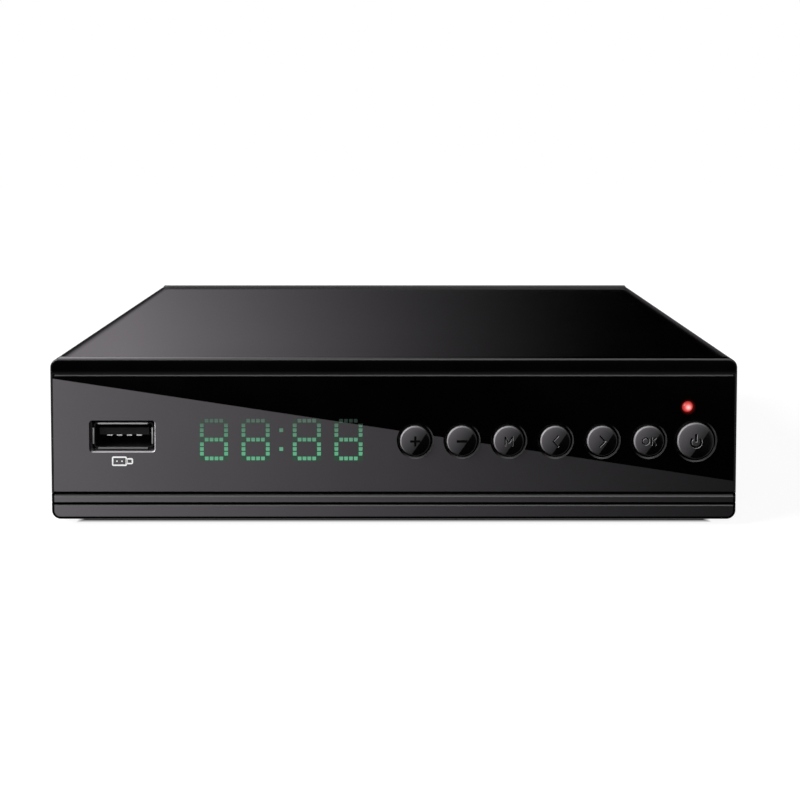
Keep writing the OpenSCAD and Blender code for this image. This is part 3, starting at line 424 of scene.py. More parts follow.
@dataclass(frozen=True)
class Finish:
    """One surface finish, made into a material the first time that it is used."""

    name: str
    colour: Colour
    roughness: float = 0.5
    gloss_drift: float = 0.03
    grain_size: float = 0.3 * MM
    grain_depth: float = 0.0008 * MM
    tone_drift: float = 10 * MM
    specular: float = 0.5

    def wire(self, graph: Graph) -> Feeds:
        """Wires the finish's nodes and returns what goes into the shader's inputs."""
        raise NotImplementedError

    def grain(self, graph: Graph, place: Socket) -> Sockets:
        """The finish's own grain and drift of tone."""
        return Grain.put(graph, Vector=place, Fineness=1 / self.grain_size, Drift=1 / self.tone_drift)

    def skin(self, graph: Graph, tone: Socket, height: Socket, depth: float) -> Feeds:
        """The gloss and relief that every finish has.

        Args:
            graph: the material's nodes.
            tone: a drift between 0 and 1 that the roughness follows.
            height: the relief.
            depth: the relief's depth at a height of 1.

        Returns:
            The shader's inputs for them.
        """
        low, high = self.roughness - self.gloss_drift, self.roughness + self.gloss_drift
        return {
            "Roughness": graph.span(tone, 0, 1, low, high),
            "Normal": graph.bump(height, depth),
            "Specular IOR Level": self.specular,
        }

    def material(self) -> bpy.types.Material:
        """The finish's material."""
        known = bpy.data.materials.get(self.name)
        if known is not None:
            return known
        made = bpy.data.materials.new(self.name)
        made.use_nodes = True
        made.diffuse_color = (*self.colour, 1.0)
        graph = Graph(made.node_tree)
        shader = made.node_tree.nodes["Principled BSDF"]
        for name, value in self.wire(graph).items():
            graph.feed(shader.inputs[name], value)
        return made

    def dress(self, *nodes: str) -> None:
        """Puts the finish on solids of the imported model.

        Args:
            *nodes: their names.
        """
        for node in nodes:
            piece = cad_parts[node]
            if not piece.material_slots:
                piece.data.materials.append(None)
            for slot in piece.material_slots:
                slot.material = self.material()
            log.info("dressed %s in %s", node, self.name)


@dataclass(frozen=True)
class CasePaint(Finish):
    """Satin black powder coat on sheet steel, with a painted highlight along the rear edge."""

    gloss_drift: float = 0.02
    grain_size: float = 0.5 * MM
    tone_drift: float = 30 * MM
    bend_from: float = 70.9 * MM
    bend_rate: float = 75.0
    rear_edge_height: float = 37.03 * MM
    rear_edge_blur: float = 0.05 * MM
    # painted highlight along the rear edge of the case
    rear_edge_highlight: Colour = (0.05, 0.05, 0.052)
    dust: Colour = (0.16, 0.155, 0.15)
    dust_amount: float = 0.003

    def wire(self, graph: Graph) -> Feeds:
        """Orange peel, a little dust, a painted highlight along the rear edge, and sheet that falls off
        towards the bends.
        """
        place = graph.place()
        grain = self.grain(graph, place)
        film = Dust.put(graph, Vector=place, Normal=graph.normal(), Amount=self.dust_amount)["Film"]
        across, _, height = graph.split(place)
        rear_highlight = graph.span(height, self.rear_edge_height, self.rear_edge_height + self.rear_edge_blur)
        past = graph.most(graph.minus(graph.math("ABSOLUTE", across), self.bend_from), 0.0)
        bend = graph.times(graph.math("POWER", past, 2.0), self.bend_rate)
        relief = graph.minus(graph.times(grain["Height"], self.grain_depth), bend)
        return {
            "Base Color": graph.mix(rear_highlight, graph.mix(film, self.colour, self.dust), self.rear_edge_highlight),
            **self.skin(graph, grain["Tone"], relief, METRE),
        }


@dataclass(frozen=True)
class FasciaPaintedLight(Finish):
    """Gloss black fascia with painted light: a painted reflection below a slanting edge that fades from left
    to right as painted light, and black above it.
    """

    grain_size: float = 0.35 * MM
    grain_depth: float = 0.0006 * MM
    tone_drift: float = 12 * MM
    specular: float = 0.15
    gain: float = 1.02
    unevenness: float = 0.04
    # painted shade on cut edges, and painted highlights on cut edges that face up and left, paler by the
    # port
    edge: Colour = (0.002, 0.002, 0.002)
    lit_edge: Colour = (0.075, 0.072, 0.075)
    port_edge_highlight: Colour = (0.3, 0.285, 0.3)
    port_side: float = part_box("port_shell")[1].x + 2 * MM
    port_top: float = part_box("port_shell")[1].z + 2 * MM
    port_blur: float = 1 * MM
    halo: Colour = (0.012, 0.1, 0.045)
    halo_share: float = 0.45
    glow: Colour = (0.06, 0.002, 0.002)
    lamp: Tuple[float, float] = spot("standby_lamp")
    glow_from: float = 1.2 * MM
    glow_to: float = 1.9 * MM
    margin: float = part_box("fascia_panel")[1].x - 0.5 * MM
    margin_blur: float = 0.2 * MM

    def wire(self, graph: Graph) -> Feeds:
        """The painted reflection with its painted fade of light, painted shade and highlights on cut edges,
        and the glow of the digits and the lamp on the gloss.
        """
        place = graph.place()
        fade = PanelFade.put(graph, Vector=place, Gain=self.gain)
        grain = self.grain(graph, place)
        edge = EdgeMask.put(graph, Normal=graph.normal())
        tone = graph.mix(graph.span(grain["Tone"], 0, 1, 0.0, self.unevenness), fade["Shade"], BLACK)
        stray = graph.times(DigitHalo.put(graph, Vector=place)["Halo"], self.halo_share)
        face = graph.mix(fade["Above"], graph.mix(stray, tone, self.halo), self.colour)
        across, _, height = graph.split(place)
        inner = graph.fall(graph.math("ABSOLUTE", across), self.margin, self.margin + self.margin_blur)
        apart = graph.most(graph.span(across, self.port_side, self.port_side + self.port_blur),
                           graph.span(height, self.port_top, self.port_top + self.port_blur))
        lit = graph.mix(apart, self.port_edge_highlight, self.lit_edge)
        cut = graph.mix(graph.times(edge["Lit"], inner), self.edge, lit)
        away = graph.reach(across, height, self.lamp)
        near = graph.math("POWER", graph.fall(away, self.glow_from, self.glow_to), 2.0)
        return {
            "Base Color": graph.mix(edge["Edge"], face, cut),
            "Emission Color": graph.mix(near, BLACK, self.glow),
            "Emission Strength": 1.0,
            **self.skin(graph, grain["Tone"], grain["Height"], self.grain_depth),
        }


@dataclass(frozen=True)
class BezelMoulding(Finish):
    """Moulded black bezel with painted light: the painted fade of light on the bands below the fascia, a
    painted sheen on its flat top, painted highlights on edges that look up, and painted shade in the grooves
    and along the outer edge.
    """

    tone_drift: float = 15 * MM
    specular: float = 0.06
    band_top: float = 7.5 * MM
    band_blur: float = 0.05 * MM
    band_gain: float = 1.14
    # painted shade on edges of the bands, and painted highlights on edges that look up
    edge: Colour = (0.004, 0.004, 0.004)
    top_edge_highlight: Colour = (0.05, 0.05, 0.051)
    lip_highlight: Colour = (0.085, 0.085, 0.086)
    front: float = front_of("front_bezel")
    # painted shade in the grooves, along the foot and round the outer edge
    groove_from: float = 0.04 * MM
    first_groove_to: float = 0.55 * MM
    second_groove_to: float = 0.26 * MM
    foot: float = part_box("front_bezel")[0].z
    strip_height: float = 4.5 * MM
    foot_shade: float = 0.42 * MM
    side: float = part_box("front_bezel")[1].x
    corner: float = 2 * MM
    rim_from: float = 0.8 * MM
    rim_to: float = 0.6 * MM
    # painted sheen on the flat top, fading from left to right
    top_sheen: float = 0.42
    top_dark: float = 46 * MM
    level_range: Range = (0.95, 0.985)
    # painted highlight that fades up from the fascia's top edge
    ledge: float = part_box("fascia_panel")[1].z
    ledge_height: float = 1.2 * MM
    ledge_curve: float = 3.0
    ledge_highlight: float = 0.014

    def faces(self, graph: Graph, place: Socket) -> Socket:
        """The colour before the lines of painted shade are drawn.

        Args:
            graph: the material's nodes.
            place: object coordinates.

        Returns:
            Black above with a painted highlight just over the fascia, the painted fade of light on the
            bands, a painted sheen on top, painted highlights on edges that look up, and painted shade on
            other edges of the bands.
        """
        fade = PanelFade.put(graph, Vector=place, Gain=self.band_gain)
        edge = EdgeMask.put(graph, Normal=graph.normal())
        across, _, height = graph.split(place)
        above = self.above(graph, height)
        ledge = graph.math("POWER", graph.fall(height, self.ledge, self.ledge + self.ledge_height),
                           self.ledge_curve)
        black = graph.mix(graph.times(ledge, self.ledge_highlight), self.colour, WHITE)
        face = graph.mix(above, fade["Shade"], black)
        lit = graph.mix(above, self.lip_highlight, self.top_edge_highlight)
        turned = graph.mix(edge["Upward"], graph.mix(edge["Edge"], face, self.edge), lit)
        _, _, upward = graph.split(graph.normal())
        seen = graph.span(across, -self.side, self.top_dark, self.top_sheen, 0.0)
        sheen = graph.mix(graph.math("POWER", seen, SCREEN_GAMMA), BLACK, GREY_CAST)
        return graph.mix(graph.times(graph.span(upward, *self.level_range), above), turned, sheen)

    def lines(self, graph: Graph, place: Socket) -> Socket:
        """Painted shade: 1 in both grooves and along the outer edge, the foot included, else 0.

        Args:
            graph: the material's nodes.
            place: object coordinates.

        Returns:
            The mask of painted shade.
        """
        across, depth, height = graph.split(place)
        start = self.front + self.groove_from
        second = graph.times(graph.math("LESS_THAN", height, self.foot + self.strip_height),
                             graph.span(depth, start, self.front + self.second_groove_to))
        sunk = graph.most(graph.span(depth, start, self.front + self.first_groove_to), second)
        under = graph.fall(height, self.foot + self.foot_shade, self.foot + 2 * self.foot_shade)
        beside = graph.minus(graph.math("ABSOLUTE", across), self.side - self.corner)
        below = graph.minus(self.foot + self.corner, height)
        out = graph.reach(graph.most(beside, 0.0), graph.most(below, 0.0))
        rim = graph.span(out, self.corner - self.rim_from, self.corner - self.rim_to)
        return graph.most(sunk, graph.most(under, rim))

    def above(self, graph: Graph, height: Socket) -> Socket:
        """1 above the bands, else 0."""
        return graph.span(height, self.band_top - self.band_blur, self.band_top + self.band_blur)

    def wire(self, graph: Graph) -> Feeds:
        """The faces' tones, with lines of painted shade on the bands only."""
        place = graph.place()
        grain = self.grain(graph, place)
        _, _, height = graph.split(place)
        # painted shade lines, kept to the bands
        dark = graph.times(self.lines(graph, place), graph.minus(1.0, self.above(graph, height)))
        return {
            "Base Color": graph.mix(dark, self.faces(graph, place), self.colour),
            **self.skin(graph, grain["Tone"], grain["Height"], self.grain_depth),
        }


@dataclass(frozen=True)
class CellGlow(Finish):
    """Lit green light guide, brighter at the foot of the digits, and dimmed above the slanting edge as
    painted shade that follows the front's painted reflection.
    """

    gloss_drift: float = 0.04
    grain_size: float = 0.25 * MM
    grain_depth: float = 0.001 * MM
    tone_drift: float = 3 * MM
    pale: Colour = (0.006, 0.014, 0.01)
    foot: Colour = (0.122, 0.396, 0.23)
    head: Colour = (0.08, 0.117, 0.1)
    # painted shade: the glow's share above the slanting edge of the painted reflection
    dim_share: float = 0.09
    uneven_range: Range = (0.92, 1.04)
    foot_height: float = 16.8 * MM
    head_height: float = 23.5 * MM

    def wire(self, graph: Graph) -> Feeds:
        """A glow that fades up the digits, with a slightly uneven lamp behind it."""
        place = graph.place()
        fade = PanelFade.put(graph, Vector=place)
        grain = self.grain(graph, place)
        _, _, height = graph.split(place)
        rise = graph.span(height, self.foot_height, self.head_height)
        dimmed = graph.times(graph.span(fade["Above"], 0, 1, 1.0, self.dim_share),
                             graph.span(grain["Tone"], 0, 1, *self.uneven_range))
        return {
            "Base Color": graph.mix(grain["Tone"], self.colour, self.pale),
            "Emission Color": graph.mix(dimmed, BLACK, graph.mix(rise, self.foot, self.head)),
            "Emission Strength": 1.0,
            **self.skin(graph, grain["Tone"], grain["Height"], self.grain_depth),
        }


@dataclass(frozen=True)
class LampLens(Finish):
    """Lit red lens with a pale core."""

    gloss_drift: float = 0.025
    grain_size: float = 0.2 * MM
    grain_depth: float = 0.001 * MM
    tone_drift: float = 1 * MM
    specular: float = 0.2
    core: Colour = (1.0, 0.68, 0.66)
    rim: Colour = (0.12, 0.008, 0.006)
    shell: Colour = (0.05, 0.003, 0.003)
    dark_shell: Colour = (0.04, 0.0024, 0.0024)
    centre: Tuple[float, float] = spot("standby_lamp")
    core_r: float = 0.06 * MM
    mid_r: float = 0.72 * MM
    rim_r: float = 1.32 * MM

    def wire(self, graph: Graph) -> Feeds:
        """Rings of glow about the lamp's axis."""
        place = graph.place()
        grain = self.grain(graph, place)
        across, _, height = graph.split(place)
        away = graph.reach(across, height, self.centre)
        inner = graph.mix(graph.span(away, self.core_r, self.mid_r), self.core, self.colour)
        return {
            "Base Color": graph.mix(grain["Tone"], self.shell, self.dark_shell),
            "Emission Color": graph.mix(graph.span(away, self.mid_r, self.rim_r), inner, self.rim),
            "Emission Strength": 1.0,
            **self.skin(graph, grain["Tone"], grain["Height"], self.grain_depth),
        }


@dataclass(frozen=True)
class CapGloss(Finish):
    """Gloss black caps with a painted reflection that ends at a slanting line, and a painted highlight on
    the bevel where it faces up and left.
    """

    tone_drift: float = 4 * MM
    specular: float = 0.2
    first_x: float = spot("button_plus")[0]
    pitch: float = spot("button_minus")[0] - spot("button_plus")[0]
    row_z: float = spot("button_plus")[1]
    # painted reflection on each face: pale at the upper left, fading to the middle tone at the slanting line
    sheen_bright: Colour = (0.084, 0.0795, 0.0845)
    middle: Colour = (0.022, 0.021, 0.0225)
    bevel: Colour = (0.014, 0.0135, 0.014)
    # painted highlight on the bevel where it faces up and left
    lit_bevel: Colour = (0.18, 0.172, 0.18)
    bevel_roughness: float = 0.5
    split_across: float = 0.819
    split_up: float = -0.574
    split_from: float = 0.969 * MM
    split_blur: Range = (-0.05 * MM, 0.1 * MM)
    fade_length: float = 4.2 * MM

    def wire(self, graph: Graph) -> Feeds:
        """The painted reflection fading up to the slanting line, the cap's black past it, and the bevel's
        tones with its painted highlight.
        """
        place = graph.place()
        grain = self.grain(graph, place)
        edge = EdgeMask.put(graph, Normal=graph.normal())
        across, _, height = graph.split(place)
        nearest = graph.math("WRAP", graph.minus(across, self.first_x), self.pitch / 2, -self.pitch / 2)
        aloft = graph.math("MULTIPLY_ADD", graph.minus(height, self.row_z), self.split_up, -self.split_from)
        slant = graph.math("MULTIPLY_ADD", nearest, self.split_across, aloft)
        lit = graph.mix(graph.span(slant, -self.fade_length, 0.0), self.sheen_bright, self.middle)
        face = graph.mix(graph.span(slant, *self.split_blur), lit, self.colour)
        rim = graph.mix(edge["Lit"], self.bevel, self.lit_bevel)
        feeds = self.skin(graph, grain["Tone"], grain["Height"], self.grain_depth)
        feeds["Roughness"] = graph.span(edge["Edge"], 0, 1, feeds["Roughness"], self.bevel_roughness)
        feeds["Base Color"] = graph.mix(edge["Side"], graph.mix(edge["Edge"], face, rim), self.colour)
        return feeds


@dataclass(frozen=True)
class Moulding(Finish):
    """Moulded plastic, rubber, resin or ferrite with its own grain."""

    gloss_drift: float = 0.05
    grain_size: float = 0.25 * MM
    grain_depth: float = 0.004 * MM
    tone_drift: float = 6 * MM
    spread: float = 0.12
    dust_amount: float = 0.02
    dust: Colour = (0.22, 0.21, 0.2)

    def wire(self, graph: Graph) -> Feeds:
        """Moulded grain, a slow drift of tone and a little dust."""
        place = graph.place()
        grain = self.grain(graph, place)
        film = Dust.put(graph, Vector=place, Normal=graph.normal(), Amount=self.dust_amount)["Film"]
        darker = tuple(part * (1 - self.spread) for part in self.colour)
        lighter = tuple(min(1.0, part * (1 + self.spread)) for part in self.colour)
        return {
            "Base Color": graph.mix(film, graph.mix(grain["Tone"], darker, lighter), self.dust),
            **self.skin(graph, grain["Tone"], grain["Height"], self.grain_depth),
        }


@dataclass(frozen=True)
class Plating(Finish):
    """Plated or bare metal with drawn lines and handling marks."""

    gloss_drift: float = 0.06
    grain_size: float = 0.12 * MM
    grain_depth: float = 0.0015 * MM
    stretch: Tuple[float, float, float] = (1.0, 0.06, 1.0)
    tarnish: float = 0.7
    metallic: float = 1.0

    def wire(self, graph: Graph) -> Feeds:
        """Lines in the height, and marks in the colour and gloss."""
        place = graph.place()
        lines = DrawnLines.put(graph, Vector=place, Fineness=1 / self.grain_size, Stretch=self.stretch)
        dull = tuple(part * self.tarnish for part in self.colour)
        return {
            "Base Color": graph.mix(lines["Marks"], self.colour, dull),
            "Metallic": self.metallic,
            **self.skin(graph, lines["Marks"], lines["Height"], self.grain_depth),
        }


@dataclass(frozen=True)
class PortShellPlating(Plating):
    """Plated port shell with a painted highlight where its lips end at the front, and painted shade inside.
    """

    # painted highlight on the lips' ends, stronger towards the top
    edge: Colour = (0.42, 0.42, 0.425)
    front: float = front_of("port_shell")
    bright_depth: float = 0.3 * MM
    dull_depth: float = 0.45 * MM
    foot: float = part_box("port_shell")[0].z
    head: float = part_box("port_shell")[1].z
    foot_share: float = 0.3
    centre: Tuple[float, float] = spot("port_shell")
    bar_half: Tuple[float, float] = (5.4 * MM, 1.75 * MM)
    bar_blur: float = 0.15 * MM
    lip_metallic: float = 0.2

    def wire(self, graph: Graph) -> Feeds:
        """Drawn lines all over, with a painted highlight on the lips' ends, most so at the top, and painted
        shade on the rest.
        """
        feeds = super().wire(graph)
        across, depth, height = graph.split(graph.place())
        fore = graph.fall(depth, self.front + self.bright_depth, self.front + self.dull_depth)
        past = (graph.minus(graph.off(part, middle), half)
                for part, middle, half in zip((across, height), self.centre, self.bar_half))
        end = graph.times(fore, graph.fall(graph.least(*past), 0.0, self.bar_blur))
        glint = graph.mix(graph.span(height, self.foot, self.head, self.foot_share, 1.0), BLACK, self.edge)
        feeds["Base Color"] = graph.mix(end, feeds["Base Color"], glint)
        feeds["Metallic"] = graph.span(end, 0, 1, self.metallic, self.lip_metallic)
        return feeds


@dataclass(frozen=True)
class BoardMask(Finish):
    """Solder mask over copper tracks on glass fibre."""

    gloss_drift: float = 0.04
    grain_depth: float = 0.01 * MM
    pale: Colour = (0.022, 0.11, 0.05)
    track: Colour = (0.05, 0.24, 0.1)
    track_pitch: float = 5.6 * MM
    track_bend: float = 0.6
    track_range: Range = (0.02, 0.05)
    track_relief: float = 0.6
    pad: Colour = (0.5, 0.46, 0.36)
    pad_pitch: float = 5.1 * MM
    pad_scatter: float = 0.4
    pad_range: Range = (0.1, 0.13)
    pad_metallic: float = 0.9

    def wire(self, graph: Graph) -> Feeds:
        """Tracks that follow the edges of cells, round pads, and the glass weave's faint relief."""
        place = graph.place()
        grain = self.grain(graph, place)
        cells = graph.add("TexVoronoi", Vector=place, Scale=1 / self.track_pitch, Randomness=self.track_bend)
        cells.feature = "DISTANCE_TO_EDGE"
        cells.distance = "EUCLIDEAN"
        track = graph.fall(cells.outputs["Distance"], *self.track_range)
        dots = graph.add("TexVoronoi", Vector=place, Scale=1 / self.pad_pitch, Randomness=self.pad_scatter)
        pad = graph.fall(dots.outputs["Distance"], *self.pad_range)
        mask = graph.mix(track, graph.mix(grain["Tone"], self.colour, self.pale), self.track)
        relief = graph.math("MULTIPLY_ADD", track, self.track_relief, grain["Height"])
        return {
            "Base Color": graph.mix(pad, mask, self.pad),
            "Metallic": graph.times(pad, self.pad_metallic),
            **self.skin(graph, grain["Tone"], relief, self.grain_depth),
        }


BLACK_MOULDING = Moulding("black_moulding", (0.018, 0.018, 0.018), 0.5)
BRIGHT_TIN = Plating("bright_tin", (0.72, 0.72, 0.74), 0.32)
DARK_ZINC = Plating("dark_zinc", (0.2, 0.2, 0.205), 0.42, grain_size=0.2 * MM)
GOLD_FLASH = Plating("gold_flash", (0.83, 0.62, 0.28), 0.3)
CAP_GLOSS = CapGloss("cap_gloss", (0.0008, 0.0008, 0.0008), 0.24)


def activate(piece: bpy.types.Object) -> None:
    """Selects one object alone and makes it the active one."""
    bpy.ops.object.select_all(action="DESELECT")
    piece.select_set(True)
    bpy.context.view_layer.objects.active = piece


def settle(piece: bpy.types.Object) -> None:
    """Puts an object's place, turn and size into its mesh."""
    activate(piece)
    bpy.ops.object.transform_apply(location=True, rotation=True, scale=True)


def edit(piece: bpy.types.Object) -> None:
    """Opens one object alone in edit mode."""
    activate(piece)
    bpy.ops.object.mode_set(mode="EDIT")


def leave() -> None:
    """Goes back to object mode."""
    bpy.ops.object.mode_set(mode="OBJECT")


def clear_picks(kind: str) -> None:
    """Makes faces or edges the kind to pick, with none of them picked, and goes back to object mode."""
    bpy.ops.mesh.select_mode(type=kind)
    bpy.ops.mesh.select_all(action="DESELECT")
    leave()


def pick_faces(piece: bpy.types.Object, test: ShapeTest) -> None:
    """Selects, in edit mode, the faces that pass a test.

    Args:
        piece: the object that is open in edit mode.
        test: takes a face's middle and normal.
    """
    clear_picks("FACE")
    for face in piece.data.polygons:
        face.select = test(face.center, face.normal)
    bpy.ops.object.mode_set(mode="EDIT")


def pick_edges(piece: bpy.types.Object, test: ShapeTest) -> None:
    """Selects, in edit mode, the edges that pass a test.

    Args:
        piece: the object that is open in edit mode.
        test: takes an edge's middle and its direction from end to end.
    """
    clear_picks("EDGE")
    points = piece.data.vertices
    for edge in piece.data.edges:
        start, end = (points[index].co for index in edge.vertices)
        edge.select = test((start + end) / 2, (end - start).normalized())
    bpy.ops.object.mode_set(mode="EDIT")


def faces_front(middle: Vector, normal: Vector) -> bool:
    """True for a face that looks to the front."""
    return normal.y < -SQUARE_ON


def faces_rear(middle: Vector, normal: Vector) -> bool:
    """True for a face that looks to the rear."""
    return normal.y > SQUARE_ON


def runs_deep(middle: Vector, direction: Vector) -> bool:
    """True for an edge that runs from front to rear."""
    return abs(direction.y) > SQUARE_ON


def finish_modifier(piece: bpy.types.Object, kind: str, **settings: object) -> None:
    """Adds a modifier and applies it.

    Args:
        piece: the object.
        kind: the modifier's type.
        **settings: its properties.
    """
    activate(piece)
    modifier = piece.modifiers.new(kind.lower(), kind)
    for name, value in settings.items():
        setattr(modifier, name, value)
    bpy.ops.object.modifier_apply(modifier=modifier.name)


def smooth(piece: bpy.types.Object, angle: float = math.radians(28)) -> None:
    """Shades an object smooth, apart from its sharp edges."""
    activate(piece)
    bpy.ops.object.shade_smooth_by_angle(angle=angle)


def make_piece(piece: bpy.types.Object, name: str, body: str) -> None:
    """Names a finished piece and lets it ride on its body.

    Args:
        piece: the object, at the origin.
        name: its name.
        body: the body that carries it.
    """
    piece.name = name
    piece.data.name = name
    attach(piece, body)
    log.info("made %s on %s", name, body)


@dataclass
class Viewpoint:
    """The camera, at the photograph's viewing angle."""

    lens_mm: float = 42.674
    place: Vector = field(default_factory=lambda: Vector((0.58, -256.64, 86.54)) * MM)
    tilt: float = math.radians(1.979)
    shift_x: float = 0.00452
    shift_y: float = -0.295
    nearest: float = 5 * MM

    def build(self) -> None:
        """Makes the camera and gives it to the scene."""
        bpy.ops.object.camera_add(location=self.place, rotation=(math.pi / 2 - self.tilt, 0, 0))
        camera = bpy.context.object
        camera.name = "front_camera"
        camera.data.lens = self.lens_mm
        camera.data.shift_x = self.shift_x
        camera.data.shift_y = self.shift_y
        camera.data.clip_start = self.nearest
        bpy.context.scene.camera = camera


def seen(graph: Graph) -> Socket:
    """1 for rays from the camera and for rays that gloss or glass sends on, else 0."""
    path = graph.add("LightPath").outputs
    glossy = graph.most(path["Is Camera Ray"], path["Is Glossy Ray"])
    return graph.most(glossy, path["Is Transmission Ray"])


def emitter(name: str) -> Tuple[bpy.types.Material, Graph, bpy.types.Node]:
    """A material with one emission shader.

    Args:
        name: the material's name.

    Returns:
        The material, its nodes and the emission shader.
    """
    made = bpy.data.materials.new(name)
    made.use_nodes = True
    nodes = made.node_tree.nodes
    nodes.remove(nodes["Principled BSDF"])
    graph = Graph(made.node_tree)
    glow = graph.add("Emission")
    graph.feed(nodes["Material Output"].inputs["Surface"], glow.outputs[0])
    return made, graph, glow


def reflect_only(card: bpy.types.Object) -> None:
    """Lets an object show in reflections and nowhere else."""
    for kind in ("camera", "diffuse", "transmission", "volume_scatter", "shadow"):
        setattr(card, "visible_" + kind, False)


@dataclass(frozen=True)
class SoftLight:
    """A square soft light that looks at the object."""

    name: str
    way: Tuple[float, float, float]
    distance: float
    side: float
    power: float
    mirrored: bool

    def build(self) -> None:
        """Adds the light, in sight of gloss or not."""
        way = Vector(self.way).normalized()
        turn = way.to_track_quat("Z", "Y").to_euler()
        bpy.ops.object.light_add(type="AREA", location=way * self.distance, rotation=turn)
        light = bpy.context.object
        light.name = self.name
        light.data.size = self.side
        light.data.energy = self.power
        light.visible_glossy = self.mirrored


@dataclass(frozen=True)
class Flag:
    """A dark flag just above the floor that only gloss reflects, with its own glow on each side."""

    name: str
    front: float
    rear: float
    front_half_width: float
    rear_half_width: float
    left_glow: float = 0.0
    right_glow: float = 0.0
    lift: float = 0.3 * MM
    blend_share: float = 0.05

    def build(self) -> None:
        """Models the flag as a trapezium and gives it its glow."""
        middle_y = (self.front + self.rear) / 2
        bpy.ops.mesh.primitive_plane_add(size=1, location=(0, middle_y, self.lift))
        flag = bpy.context.object
        flag.name = self.name
        flag.scale = (2 * self.rear_half_width, self.rear - self.front, 1)
        settle(flag)
        edit(flag)
        pick_edges(flag, lambda middle, way: middle.y < middle_y and abs(way.x) > SQUARE_ON)
        bpy.ops.transform.resize(value=(self.front_half_width / self.rear_half_width, 1, 1),
                                 center_override=(0, 0, 0))
        leave()
        made, graph, glow = emitter(self.name + "_tone")
        across, _, _ = graph.split(graph.place())
        blend = self.rear_half_width * self.blend_share
        graph.feed(glow.inputs["Strength"],
                   graph.span(across, -blend, blend, self.left_glow, self.right_glow))
        flag.data.materials.append(made)
        reflect_only(flag)


